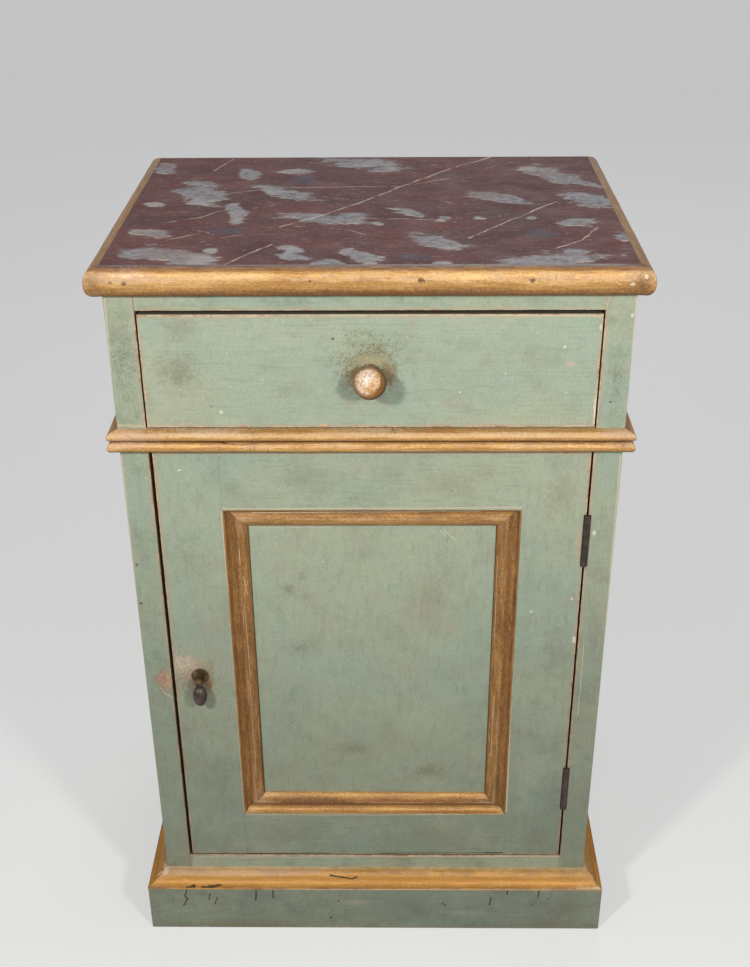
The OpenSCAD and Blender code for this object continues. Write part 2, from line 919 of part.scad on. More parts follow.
// Stile whose inner edge is at edge_x and whose outer edge lies on +x
module stile(edge_x) {
    difference() {
        block([edge_x, 0, door_z], [edge_x + stile_w, door_t, door_top]);
        block([edge_x - cut, panel_recess, door_z - cut],
            [edge_x + panel_groove, panel_back, door_top + cut]);
        stile_mortises(edge_x);
    }
}

module door_stile_left() {
    color(paint_green) at_front() difference() {
        on_side(true) stile(-open_l);
        translate([handle_x, 0, handle_z]) bar_y(spindle_r + spindle_fit, -cut, door_t + cut);
    }
}

module door_stile_right() {
    color(paint_green) at_front() difference() {
        stile(open_r);
        hinge_gains(false);
    }
}

// A rail with a groove along the edge at groove_z, a tenon and a haunch at each end
module door_rail(low_z, high_z, groove_low) {
    end_z = (low_z == door_z) ? [low_z, high_z - panel_groove] : [low_z + panel_groove, high_z];
    color(paint_green) at_front() difference() {
        union() {
            block([open_l, 0, low_z], [open_r, door_t, high_z]);
            rail_end(open_r, end_z[0], end_z[1]);
            on_side(true) rail_end(-open_l, end_z[0], end_z[1]);
        }
        block([open_l - cut, panel_recess, groove_low],
            [open_r + cut, panel_back, groove_low + panel_groove]);
    }
}

module door_rail_bottom() {
    door_rail(door_z, open_z, open_z - panel_groove);
}

module door_rail_top() {
    door_rail(open_top, door_top, open_top);
}

// Flat panel, loose in the frame's grooves
module door_panel() {
    grow = panel_groove - panel_play;
    color(paint_green) at_front() block(
        [open_l - grow, panel_recess, open_z - grow],
        [open_r + grow, panel_back, open_top + grow]
    );
}

// One mitred length of the moulding round the panel: its back is on the panel,
// its outer edge lies across from the opening's middle at the given distance
module frame_moulding(turn, length, distance) {
    half = length / 2;
    in_half = half - frame_mould_w;
    color(gilt_brown) at_front() translate([open_x, panel_recess, open_mid_z])
        rotate([0, turn, 0]) translate([0, 0, -distance]) intersection() {
            rotate([180, -90, 0]) linear_extrude(length, center = true) frame_profile();
            rotate([90, 0, 0]) linear_extrude(panel_recess) polygon([
                [-half, 0], [half, 0], [in_half, frame_mould_w], [-in_half, frame_mould_w]
            ]);
        }
}

module panel_moulding_bottom() {
    frame_moulding(0, open_w, open_h / 2);
}

module panel_moulding_left() {
    frame_moulding(90, open_h, open_w / 2);
}

module panel_moulding_top() {
    frame_moulding(180, open_w, open_h / 2);
}

module panel_moulding_right() {
    frame_moulding(270, open_h, open_w / 2);
}

// ---- Drawer ----

// Dovetails at one end of the right drawer side: wide at tip_y, narrow at root_y
module side_tails(tip_y, root_y, low_z, high_z, out_x) {
    pitch = (high_z - low_z) / tail_count;
    wide = pitch * tail_share;
    narrow = wide - 2 * tail_slope * abs(root_y - tip_y);
    past_y = root_y + sign(root_y - tip_y) * cut;
    for (k = [0 : tail_count - 1]) across(side_in, out_x)
        translate([0, low_z + (k + 0.5) * pitch]) polygon([
            [tip_y, -wide / 2], [tip_y, wide / 2],
            [root_y, narrow / 2], [past_y, narrow / 2],
            [past_y, -narrow / 2], [root_y, -narrow / 2]
        ]);
}

module front_tails(out_x) {
    side_tails(drawer_lap, drawer_front_t, side_z, side_top, out_x);
}

module back_tails(out_x) {
    side_tails(drawer_l, drawer_back_y, drawer_back_z, drawer_back_top, out_x);
}

module drawer_front() {
    color(paint_green) at_front() difference() {
        block([-drawer_half, 0, drawer_z], [drawer_half, drawer_front_t, drawer_top]);
        for (left = [false, true]) on_side(left) front_tails(drawer_half + cut);
        block([-side_in, drawer_front_t - drawer_groove, base_z],
            [side_in, drawer_front_t + cut, base_top]);
        translate([0, 0, knob_z]) bar_y(knob_tenon_r + knob_fit, -cut, drawer_front_t + cut);
    }
}

// Right drawer side: tails at both ends, a groove for the bottom inside
module drawer_side() {
    color(pine) at_front() difference() {
        union() {
            block([side_in, drawer_front_t, side_z], [side_out, drawer_back_y, side_top]);
            block([side_in, drawer_back_y - cut, side_z], [side_out, drawer_l, drawer_back_z]);
            front_tails(side_out);
            back_tails(side_out);
        }
        block([side_in - cut, drawer_front_t, base_z],
            [side_in + drawer_groove, drawer_l + cut, base_top]);
    }
}

module drawer_side_left() {
    on_side(true) drawer_side();
}

module drawer_side_right() {
    drawer_side();
}

module drawer_back() {
    color(pine) at_front() difference() {
        block([-side_out, drawer_back_y, drawer_back_z], [side_out, drawer_l, drawer_back_top]);
        for (left = [false, true]) on_side(left) back_tails(side_out + cut);
    }
}

// Bottom, slid in from behind under the drawer's back
module drawer_bottom() {
    half = side_in + drawer_groove - panel_play;
    color(pine) at_front() {
        block([-side_in, drawer_front_t - drawer_groove + panel_play, base_z],
            [side_in, drawer_front_t + cut, base_top]);
        block([-half, drawer_front_t, base_z], [half, drawer_l, base_top]);
    }
}

// Turned knob: foot ring, neck and ball, with a tenon through the drawer's front
module drawer_knob() {
    color(gilt) at_front() translate([0, 0, knob_z]) {
        turned_y() {
            square([knob_foot_r, knob_foot_t]);
            square([knob_neck_r, knob_out - knob_r / 2]);
            intersection() {
                translate([0, knob_out]) circle(r = knob_r);
                square([knob_r, knob_reach]);
            }
        }
        bar_y(knob_tenon_r, -knob_foot_t, drawer_front_t);
    }
}

// ---- Latch and drop handle ----

module handle_rose() {
    color(old_brass) at_front() translate([handle_x, 0, handle_z]) difference() {
        turned_y() intersection() {
            square([rose_r, rose_t]);
            translate([0, rose_t - rose_dome_r]) circle(r = rose_dome_r, $fn = 192);
        }
        bar_y(spindle_r + spindle_fit, -rose_t - cut, cut);
    }
}

// Slot in the ball for the drop's eye, open to the front and below
module eye_slot() {
    room = eye_r + eye_room;
    far = ball_r + cut;
    rotate([0, 90, 0]) cylinder(r = room, h = ball_slot, center = true);
    block([-ball_slot / 2, -far, -far], [ball_slot / 2, 0, room]);
    block([-ball_slot / 2, -cut, -far], [ball_slot / 2, room, 0]);
    block([-ball_slot / 2, -cut, -far], [ball_slot / 2, far, -room]);
}

// Ball-ended spindle, squared behind the door for the tongue
module latch_spindle() {
    color(old_brass) at_front() translate([handle_x, 0, handle_z]) difference() {
        union() {
            translate([0, -ball_out, 0]) sphere(r = ball_r);
            bar_y(spindle_r, -ball_out, latch_y);
            bar_y(collar_r, -rose_t - spindle_fit - collar_t, -rose_t - spindle_fit);
            block([-square_w / 2, latch_y - cut, -square_w / 2],
                [square_w / 2, latch_y + latch_t, square_w / 2]);
            bar_y(stub_r, latch_y, latch_y + latch_t + nut_t + stub_show);
        }
        translate([0, -ball_out, 0]) {
            eye_slot();
            rotate([0, 90, 0])
                cylinder(r = drop_pin_r + seat_fit / 2, h = 2 * ball_r + cut, center = true);
        }
    }
}

// Tongue on its hub: it hangs down when the door is free, and turns behind the stop strip
module latch_tongue() {
    color(old_iron) at_front() translate([handle_x, 0, handle_z]) difference() {
        union() {
            bar_y(hub_r, door_t + hub_gap, latch_y + latch_t);
            translate([0, latch_y + latch_t, 0]) rotate([90, 0, 0]) linear_extrude(latch_t) {
                translate([-latch_w / 2, -latch_reach + latch_w / 2])
                    square([latch_w, latch_reach - latch_w / 2]);
                translate([0, -latch_reach + latch_w / 2]) circle(d = latch_w);
            }
        }
        bar_y(spindle_r + seat_fit, door_t, latch_y);
        block([-square_w / 2 - seat_fit, latch_y - cut, -square_w / 2 - seat_fit],
            [square_w / 2 + seat_fit, latch_y + latch_t + cut, square_w / 2 + seat_fit]);
    }
}

module latch_nut() {
    near_y = latch_y + latch_t;
    color(old_brass) at_front() translate([handle_x, 0, handle_z]) difference() {
        block([-nut_w / 2, near_y, -nut_w / 2], [nut_w / 2, near_y + nut_t, nut_w / 2]);
        bar_y(stub_r + seat_fit / 2, near_y - cut, near_y + nut_t + cut);
    }
}

module drop_pin() {
    color(old_brass) at_front() translate([handle_x, -ball_out, handle_z])
        rotate([0, 90, 0]) cylinder(r = drop_pin_r, h = drop_pin_l, center = true);
}

// Pear-shaped drop: a flat eye on the pin, and a neck that swells to a long oval
module pear_drop() {
    color(old_brass) at_front() translate([handle_x, -ball_out, handle_z]) difference() {
        union() {
            rotate([0, 90, 0]) cylinder(r = eye_r, h = eye_t, center = true);
            block([-eye_t / 2, -drop_neck_r, -drop_neck_z - cut],
                [eye_t / 2, drop_neck_r, 0]);
            translate([0, 0, -drop_down]) rotate_extrude() {
                intersection() {
                    scale([drop_r, drop_rise]) circle(r = 1);
                    translate([0, -cut]) square([drop_r, drop_down - drop_neck_z + cut]);
                }
                intersection() {
                    scale([drop_r, drop_low]) circle(r = 1);
                    translate([0, -drop_low]) square([drop_r, drop_low]);
                }
            }
        }
        rotate([0, 90, 0])
            cylinder(r = drop_pin_r + hinge_fit, h = eye_t + cut, center = true);
    }
}

side_left();
side_right();
bottom_board();
divider_rail();
runner_left();
runner_right();
dust_panel();
top_rail_front();
top_rail_back();
kicker_left();
kicker_right();
back_board_left();
back_board_middle();
back_board_right();
top_board();
nosing_front();
nosing_left();
nosing_right();
middle_moulding_front();
middle_moulding_left();
middle_moulding_right();
plinth_front();
plinth_left();
plinth_right();
base_moulding_front();
base_moulding_left();
base_moulding_right();
plinth_blocks();
drawer_stops();
door_stop();
hinge_case_leaf_upper();
hinge_case_leaf_lower();
hinge_pins();
case_screws();
door_stile_left();
door_stile_right();
door_rail_top();
door_rail_bottom();
door_panel();
panel_moulding_top();
panel_moulding_bottom();
panel_moulding_left();
panel_moulding_right();
hinge_door_leaf_upper();
hinge_door_leaf_lower();
door_screws();
handle_rose();
drawer_front();
drawer_side_left();
drawer_side_right();
drawer_back();
drawer_bottom();
drawer_knob();
latch_spindle();
latch_tongue();
latch_nut();
drop_pin();
pear_drop();
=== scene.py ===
# %% [markdown]
# # A painted bedside cupboard
# The real cupboard is pine. It is painted sage green over a warm undercoat, its mouldings are
# gilded, and its top is painted to look like marble. A century of hands has rubbed the paint
# off the edges, browned the gold and left grime where the door and drawer are opened.
# The construction is already solved in the CAD model, so this lesson starts from those solids,
# carves finer mouldings over them, and spends most of its effort on the finishes.

import bpy
import numpy as np
from mathutils import Matrix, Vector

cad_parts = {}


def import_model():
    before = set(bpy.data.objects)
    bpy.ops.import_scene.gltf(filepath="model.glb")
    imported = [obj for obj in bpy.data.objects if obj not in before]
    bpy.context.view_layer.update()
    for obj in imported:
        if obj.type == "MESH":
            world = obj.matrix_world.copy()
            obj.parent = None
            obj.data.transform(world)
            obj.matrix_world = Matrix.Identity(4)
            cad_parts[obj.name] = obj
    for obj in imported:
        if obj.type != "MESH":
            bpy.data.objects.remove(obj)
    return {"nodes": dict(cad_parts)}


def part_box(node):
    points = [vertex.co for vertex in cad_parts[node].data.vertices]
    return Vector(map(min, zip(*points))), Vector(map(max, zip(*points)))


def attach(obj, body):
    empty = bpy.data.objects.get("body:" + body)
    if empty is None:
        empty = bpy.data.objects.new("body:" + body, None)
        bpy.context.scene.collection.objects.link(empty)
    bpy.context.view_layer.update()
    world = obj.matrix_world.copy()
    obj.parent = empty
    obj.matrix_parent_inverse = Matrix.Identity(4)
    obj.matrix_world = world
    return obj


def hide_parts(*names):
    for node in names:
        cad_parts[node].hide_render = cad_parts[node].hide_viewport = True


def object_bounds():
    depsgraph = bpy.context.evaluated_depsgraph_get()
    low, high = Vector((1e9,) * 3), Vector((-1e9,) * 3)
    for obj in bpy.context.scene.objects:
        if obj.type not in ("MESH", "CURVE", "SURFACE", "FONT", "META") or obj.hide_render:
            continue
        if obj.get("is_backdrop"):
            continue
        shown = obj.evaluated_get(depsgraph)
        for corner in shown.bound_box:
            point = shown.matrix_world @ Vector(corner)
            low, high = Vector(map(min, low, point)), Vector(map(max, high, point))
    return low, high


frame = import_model()
bpy.context.view_layer.update()

# %% [markdown]
# ## The cupboard's own measures
# A dressed piece has to sit exactly where the construction says. Most measures are read from
# the CAD nodes' boxes; only the mouldings' profiles are repeated here, in metres, because a
# box doesn't tell a profile.

# %% Measures
MM = 0.001
case_low, case_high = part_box("side_left")[0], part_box("side_right")[1]
face_y, back_y, case_x = case_low.y, case_high.y, case_high.x
top_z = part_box("top_board")[1].z
rail_low, rail_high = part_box("middle_moulding_front")[0].z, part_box("middle_moulding_front")[1].z
plinth_z, ogee_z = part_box("base_moulding_front")[0].z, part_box("base_moulding_front")[1].z
opening_left, opening_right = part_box("door_stile_left")[1].x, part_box("door_stile_right")[0].x
opening_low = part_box("panel_moulding_bottom")[0].z
opening_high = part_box("panel_moulding_top")[1].z
panel_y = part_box("door_panel")[0].y
knob_z = (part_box("drawer_knob")[0].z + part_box("drawer_knob")[1].z) / 2
print("front face at y", round(face_y, 5), "top at", round(top_z, 4), "knob at", round(knob_z, 4))

# %% [markdown]
# ## The camera
# The camera's place, tilt and lens were fitted to the corners of the cupboard in the
# photograph, which is 750 by 967 pixels. The same numbers also turn a pixel back into a place
# on the front or on the top, so that a scratch or a vein lands where it is on the real one.

# %% Camera
PHOTO_W, PHOTO_H = 750, 967
FOCAL = 1296.65
EYE = np.array([0.01903, face_y - 1.00551, 1.09186])
YAW, PITCH, ROLL = -0.0154, 0.5059, -0.0079

forward = np.array([np.sin(YAW) * np.cos(PITCH), np.cos(YAW) * np.cos(PITCH), -np.sin(PITCH)])
level = np.array([np.cos(YAW), -np.sin(YAW), 0.0])
upright = np.cross(level, forward)
right = level * np.cos(ROLL) + upright * np.sin(ROLL)
above = upright * np.cos(ROLL) - level * np.sin(ROLL)


def sight(px, py):
    """Direction from the eye through a pixel, with (cx, cy) the picture's middle:
    forward + right (px - cx) / f - above (py - cy) / f."""
    return forward + right * (px - PHOTO_W / 2) / FOCAL - above * (py - PHOTO_H / 2) / FOCAL


def on_front(px, py, out=0.0):
    """Place where a pixel's line of sight meets the plane that lies `out` in front of the face."""
    d = sight(px, py)
    return EYE + d * ((face_y - out - EYE[1]) / d[1])


def on_level(px, py, z):
    """Place where a pixel's line of sight meets a level plane, such as the top."""
    d = sight(px, py)
    return EYE + d * ((z - EYE[2]) / d[2])


camera = bpy.data.objects.new("camera", bpy.data.cameras.new("camera"))
bpy.context.scene.collection.objects.link(camera)
camera.data.sensor_width = 36
camera.data.lens = FOCAL * 36 / PHOTO_H
turn = np.eye(4)
turn[:3, 0], turn[:3, 1], turn[:3, 2], turn[:3, 3] = right, above, -forward, EYE
camera.matrix_world = Matrix(turn.tolist())
camera.data.clip_start, camera.data.clip_end = 0.05, 50
bpy.context.scene.camera = camera
print("lens", round(camera.data.lens, 2), "mm; handle seen at", on_front(199, 677).round(4))

# %% [markdown]
# ## Writing shaders as formulas
# A finish is easier to read as a formula than as a web of boxes. The small classes below add
# one node per call or per sign and hand back what comes out of it, so `r.mix(mask, a, b)` is a
# mix node with its links, and `strokes * 0.12 + fine * 0.03` is two products and their sum.

# %% Shader recipes
SOCKETS = {"value": "NodeSocketFloat", "vector": "NodeSocketVector", "colour": "NodeSocketColor"}


def seen(red, green, blue):
    """Linear colour of a screen colour c from 0 to 255, after c / 255: c / 12.92 when it is dark,
    ((c + 0.055) / 1.055) ** 2.4 when it isn't."""
    c = np.array([red, green, blue]) / 255.0
    c = np.where(c <= 0.04045, c / 12.92, ((c + 0.055) / 1.055) ** 2.4)
    return (*c.tolist(), 1.0)


class Signal:
    """What comes out of a node. + - * / between signals, numbers and vectors add a node each."""

    def __init__(self, recipe, socket):
        self.recipe, self.socket = recipe, socket

    def _with(self, operation, a, b):
        plain = all(s.socket.type == "VALUE" for s in (a, b) if isinstance(s, Signal))
        return (self.recipe.math if plain else self.recipe.vector)(operation, a, b)

    def __add__(self, other):
        return self._with("ADD", self, other)

    def __sub__(self, other):
        return self._with("SUBTRACT", self, other)

    def __rsub__(self, other):
        return self._with("SUBTRACT", other, self)

    def __mul__(self, other):
        return self._with("MULTIPLY", self, other)

    def __truediv__(self, other):
        return self._with("DIVIDE", self, other)


class Recipe:
    """Writes one shader tree. Each method adds a node and gives back its output as a signal."""

    def __init__(self, tree):
        self.tree = tree

    def outputs(self, node):
        return {socket.name: Signal(self, socket) for socket in node.outputs}

    def plug(self, value, socket):
        """Links a signal to an input, or sets the input to a constant."""
        if isinstance(value, Signal):
            self.tree.links.new(value.socket, socket)
        else:
            socket.default_value = value

    def add(self, kind, plugs, out=0, **settings):
        node = self.tree.nodes.new(kind)
        for name, value in settings.items():
            setattr(node, name, value)
        for name, value in plugs.items():
            self.plug(value, node.inputs[name])
        return Signal(self, node.outputs[out])

    def math(self, operation, a, b=0.0, clamp=False):
        return self.add("ShaderNodeMath", {0: a, 1: b}, operation=operation, use_clamp=clamp)

    def vector(self, operation, a, b=(0, 0, 0), out=0):
        return self.add("ShaderNodeVectorMath", {0: a, 1: b}, out, operation=operation)

    def length(self, a):
        return self.vector("LENGTH", a, out=1)

    def dot(self, a, b):
        return self.vector("DOT_PRODUCT", a, b, 1)

    def scaled(self, a, factor):
        return self.add("ShaderNodeVectorMath", {0: a, "Scale": factor}, operation="SCALE")

    def mix(self, share, a, b, blend="MIX"):
        return self.add("ShaderNodeMix", {0: share, 6: a, 7: b}, 2, data_type="RGBA",
                        blend_type=blend)

    def coats(self, colour, *coats):
        """Lays coats over a colour, each a mask and either a tint from 0 to 255 or a colour."""
        for mask, tint in coats:
            colour = self.mix(mask, colour, seen(*tint) if len(tint) == 3 else tint)
        return colour

    def blend(self, share, a, b):
        return self.add("ShaderNodeMix", {0: share, 2: a, 3: b}, 0, data_type="FLOAT")

    def band(self, value, low, high, start=0.0, end=1.0):
        """Smooth step from start, at low, to end, at high."""
        return self.add(
            "ShaderNodeMapRange",
            {"Value": value, "From Min": low, "From Max": high, "To Min": start, "To Max": end},
            interpolation_type="SMOOTHSTEP",
        )

    def noise(self, place, scale, detail=2.0, rough=0.5, distort=0.0, out=0):
        plugs = {"Vector": place, "Scale": scale, "Detail": detail, "Roughness": rough}
        return self.add("ShaderNodeTexNoise", {**plugs, "Distortion": distort}, out)

    def cells(self, place, scale):
        return self.add("ShaderNodeTexVoronoi", {"Vector": place, "Scale": scale}, "Distance")

    def parts(self, vector):
        """The x, y and z of a vector."""
        node = self.add("ShaderNodeSeparateXYZ", {0: vector}).socket.node
        return list(self.outputs(node).values())

    def use(self, group, plugs):
        """A node group with its plugs filled, as {name of output: signal}."""
        node = self.tree.nodes.new("ShaderNodeGroup")
        node.node_tree = group
        for name, value in plugs.items():
            self.plug(value, node.inputs[name])
        return self.outputs(node)


def start_group(name, plugs, results):
    """A node group with inputs, as {name: default}, and outputs, as {name: kind}."""
    tree = bpy.data.node_groups.new(name, "ShaderNodeTree")
    for plug, default in plugs.items():
        kind = SOCKETS["vector" if isinstance(default, tuple) else "value"]
        socket = tree.interface.new_socket(name=plug, in_out="INPUT", socket_type=kind)
        socket.default_value = default
    for result, kind in results.items():
        tree.interface.new_socket(name=result, in_out="OUTPUT", socket_type=SOCKETS[kind])
    recipe = Recipe(tree)
    return recipe, recipe.outputs(tree.nodes.new("NodeGroupInput"))


def end_group(recipe, results):
    """Links the group's results to its outputs, and gives the finished group."""
    end = recipe.tree.nodes.new("NodeGroupOutput")
    for name, signal in results.items():
        recipe.plug(signal, end.inputs[name])
    return recipe.tree


def start_finish(name):
    """A new material's recipe, with its Principled shader left to be linked by end_finish."""
    material = bpy.data.materials.new(name)
    material.use_nodes = True
    recipe = Recipe(material.node_tree)
    recipe.material = material
    recipe.shader = material.node_tree.nodes["Principled BSDF"]
    return recipe


def end_finish(recipe, colour, roughness, height=None, metal=None, specular=0.5):
    """Links colour, roughness, metal and a bump, whose height is in millimetres."""
    plugs = {"Base Color": colour, "Roughness": roughness, "Metallic": metal}
    if height is not None:
        bump = {"Strength": 1.0, "Distance": MM, "Height": height}
        plugs["Normal"] = recipe.add("ShaderNodeBump", bump)
    for name, value in plugs.items():
        if value is not None:
            recipe.plug(value, recipe.shader.inputs[name])
    recipe.shader.inputs["Specular IOR Level"].default_value = specular
    return recipe.material


def object_place(recipe):
    """Object coordinates, which are the cupboard's own metres because no piece is moved."""
    return recipe.outputs(recipe.tree.nodes.new("ShaderNodeTexCoord"))["Object"]


print("recipes ready")

# %% [markdown]
# ## Masks that every finish shares
# Wear starts at an arris, the sharp edge of a board. For a board that is nearly a box, the
# distance to its nearest arris is the middle one of the three distances to its faces, because
# on a face the smallest is nothing. A crack or a vein is the distance to a short line, and a
# patch is the distance to a ragged ellipsoid. All three read only the place on the object, so
# they stay where they are when the camera moves or the door swings.

# %% Group: distance to the nearest arris
r, given = start_group(
    "arris_distance",
    {"Place": (0, 0, 0), "Middle": (0, 0, 0), "Half size": (1, 1, 1)},
    {"Distance": "value"},
)
off = r.vector("ABSOLUTE", given["Place"] - given["Middle"])
dx, dy, dz = r.parts(given["Half size"] - off)[0:3]
nearer = r.math("MINIMUM", dx, dy)
farther = r.math("MAXIMUM", dx, dy)
arris_group = end_group(r, {"Distance": r.math("MAXIMUM", nearer, r.math("MINIMUM", farther, dz))})

# %% Group: a crack, scratch or vein along a short line
r, given = start_group(
    "line_mark",
    {"Place": (0, 0, 0), "From": (0, 0, 0), "To": (1, 0, 0),
     "Half width": 0.001, "Softness": 0.5},
    {"Mask": "value"},
)
run = given["To"] - given["From"]
gone = given["Place"] - given["From"]
share = r.math("DIVIDE", r.dot(gone, run), r.dot(run, run), True)
away = r.length(gone - r.scaled(run, share))
inner = given["Half width"] * (1.0 - given["Softness"])
line_group = end_group(r, {"Mask": r.band(away, inner, given["Half width"], 1.0, 0.0)})

# %% Group: a ragged patch
r, given = start_group(
    "ragged_patch",
    {"Place": (0, 0, 0), "Middle": (0, 0, 0), "Reach": (1, 1, 1),
     "Ragged": 0.0, "Softness": 0.3},
    {"Mask": "value"},
)
out_to = r.length((given["Place"] - given["Middle"]) / given["Reach"])
edge = out_to + given["Ragged"]
low = 1.0 - given["Softness"]
patch_group = end_group(r, {"Mask": r.band(edge, low, 1.0, 1.0, 0.0)})
print("masks:", [g.name for g in bpy.data.node_groups])

# %% [markdown]
# ## Sage green paint
# The green is a hand-brushed oil paint. Seen close it has brush strokes along each board,
# sea-green and rosy patches where the coats wore unevenly, a grey veil of grime and pinhead
# chips. The arrises are rubbed to a thin pinkish line with a soft halo. Each of these is one
# layer below.

# %% Group: sage paint
GREEN_COOL, GREEN_WARM = seen(170, 186, 165), seen(179, 188, 162)
ROSY, SEA, GRIME = seen(178, 172, 152), seen(158, 180, 162), seen(92, 97, 76)
PINK_GROUND, TAN_GROUND, EARTH = seen(216, 192, 162), seen(178, 136, 102), seen(122, 86, 58)

r, given = start_group(
    "sage_paint",
    {"Place": (0, 0, 0), "Stretch": (1, 1, 1), "Arris": 1.0,
     "Rub": 1.0, "Grime": 0.5, "Seed": 0.0},
    {"Colour": "colour", "Roughness": "value", "Height": "value"},
)
place = given["Place"] + r.scaled((0.37, 0.91, 0.53), given["Seed"])
strokes = r.noise(place * given["Stretch"], 1.0, 4, 0.6)
broad = r.noise(place, 6, 2, 0.5)
clouds = r.noise(place, 22, 4, 0.62)
patches = r.noise(place, 31, 4, 0.66, 0.4)
mottle = r.noise(place, 90, 4, 0.62)
fine = r.noise(place, 420, 3, 0.6)
colour = r.mix(r.band(broad, 0.40, 0.60), GREEN_COOL, GREEN_WARM)
colour = r.coats(colour,
    (r.band(clouds, 0.52, 0.70, 0.0, 0.55), ROSY),
    (r.band(patches, 0.54, 0.70, 0.0, 0.45), SEA),
    (r.band(mottle, 0.46, 0.74, 0.0, 0.22), (142, 148, 122)),
    (r.band(mottle, 0.30, 0.42, 0.22, 0.0), (190, 194, 174)),
    (r.band(strokes, 0.30, 0.50, 0.28, 0.0), (132, 140, 114)),
    (r.band(strokes, 0.55, 0.78, 0.0, 0.24), (194, 198, 178)))
smoke = r.band(r.noise(place, 27, 5, 0.68), 0.46, 0.7, 0.18, 0.62) * given["Grime"]
colour = r.coats(colour,
    (smoke, GRIME),
    (r.band(fine, 0.36, 0.50, 0.16, 0.0), (128, 132, 106)),
    (r.band(fine, 0.52, 0.66, 0.0, 0.16), (206, 208, 186)))
specks = r.band(fine, 0.63, 0.72) * r.band(clouds, 0.42, 0.6)
colour = r.mix(specks * 0.4, colour, seen(96, 94, 74))
bent = place + r.scaled(r.noise(place, 300, 2, 0.5, out=1), 0.0022)
pinheads = r.band(r.cells(bent, 70), 0.05, 0.085, 1.0, 0.0) * r.band(r.noise(place, 31, 1), 0.6,
                                                                     0.64)
colour = r.mix(pinheads * 0.7, colour, PINK_GROUND)
holes = r.band(r.cells(bent, 96), 0.04, 0.075, 1.0, 0.0) * r.band(r.noise(place, 27, 1), 0.6, 0.66)
colour = r.mix(holes * 0.7, colour, seen(84, 74, 54))
from_arris = given["Arris"] * 1000.0
ragged = r.noise(place, 52, 5, 0.7)
jitter = (r.noise(place, 300, 3, 0.6) - 0.5) * 1.6
shaken = from_arris + jitter
soft_wear = r.band(shaken, 0.4, 5.0, 1.0, 0.0) * r.band(ragged, 0.3, 0.66, 0.2, 0.85)
colour = r.mix(r.math("MULTIPLY", soft_wear, given["Rub"], True), colour, seen(190, 168, 138))
rubbed_to = given["Rub"] * r.band(ragged, 0.34, 0.72, 0.35, 1.9)
rubbed = r.band(shaken - rubbed_to, -0.4, 0.4, 1.0, 0.0) * r.band(given["Rub"], 0.0, 0.4)
bared = r.mix(r.band(r.noise(place, 75, 3, 0.6), 0.46, 0.62), PINK_GROUND, TAN_GROUND)
bared = r.mix(r.band(fine, 0.50, 0.70, 0.0, 0.8), bared, EARTH)
colour = r.mix(rubbed * 0.88, colour, bared)
rough = r.band(clouds, 0.3, 0.7, 0.5, 0.62) + rubbed * 0.16
height = strokes * 0.12 + fine * 0.03
height = height - r.math("MAXIMUM", rubbed, pinheads) * 0.1
height = height - holes * 0.2
sage_group = end_group(r, {"Colour": colour, "Roughness": rough, "Height": height})

# %% [markdown]
# ## Bare pine
# Inside and behind, the wood was never painted. Pine shows long contour lines, because the saw
# cuts its yearly rings at a slant. A slow noise is stretched along the board, and the steps of
# that noise are the rings: `fraction(noise * rings)`.

# %% Group: bare pine
r, given = start_group(
    "bare_pine",
    {"Place": (0, 0, 0), "Stretch": (1, 1, 1), "Seed": 0.0},
    {"Colour": "colour", "Roughness": "value", "Height": "value"},
)
place = given["Place"] + r.scaled((0.61, 0.23, 0.97), given["Seed"])
lengthwise = place * given["Stretch"]
slow = r.noise(lengthwise, 0.045, 2, 0.5, 0.4)
rings = r.math("FRACT", slow * 17.0)
late = r.band(rings, 0.35, 0.92) * r.band(rings, 0.94, 1.0, 1.0, 0.0)
fibres = r.noise(lengthwise, 1.3, 4, 0.65)
knots = r.band(r.cells(lengthwise * (0.06, 0.06, 0.06), 1.0), 0.06, 0.16, 1.0, 0.0)
stain = r.noise(place, 9, 4, 0.6)
colour = r.mix(late, seen(202, 168, 120), seen(174, 132, 86))
colour = r.coats(colour,
    (r.band(fibres, 0.35, 0.75, 0.0, 0.4), (138, 100, 62)),
    (knots, (96, 56, 30)),
    (r.band(stain, 0.42, 0.7, 0.0, 0.5), (124, 96, 68)),
    (r.band(r.noise(place, 320, 3, 0.7), 0.62, 0.74, 0.0, 0.5), (78, 58, 40)))
rough = r.band(stain, 0.3, 0.7, 0.72, 0.86)
height = fibres * 0.22 + late * 0.06
pine_group = end_group(r, {"Colour": colour, "Roughness": rough, "Height": height})
print("paint and pine ready")
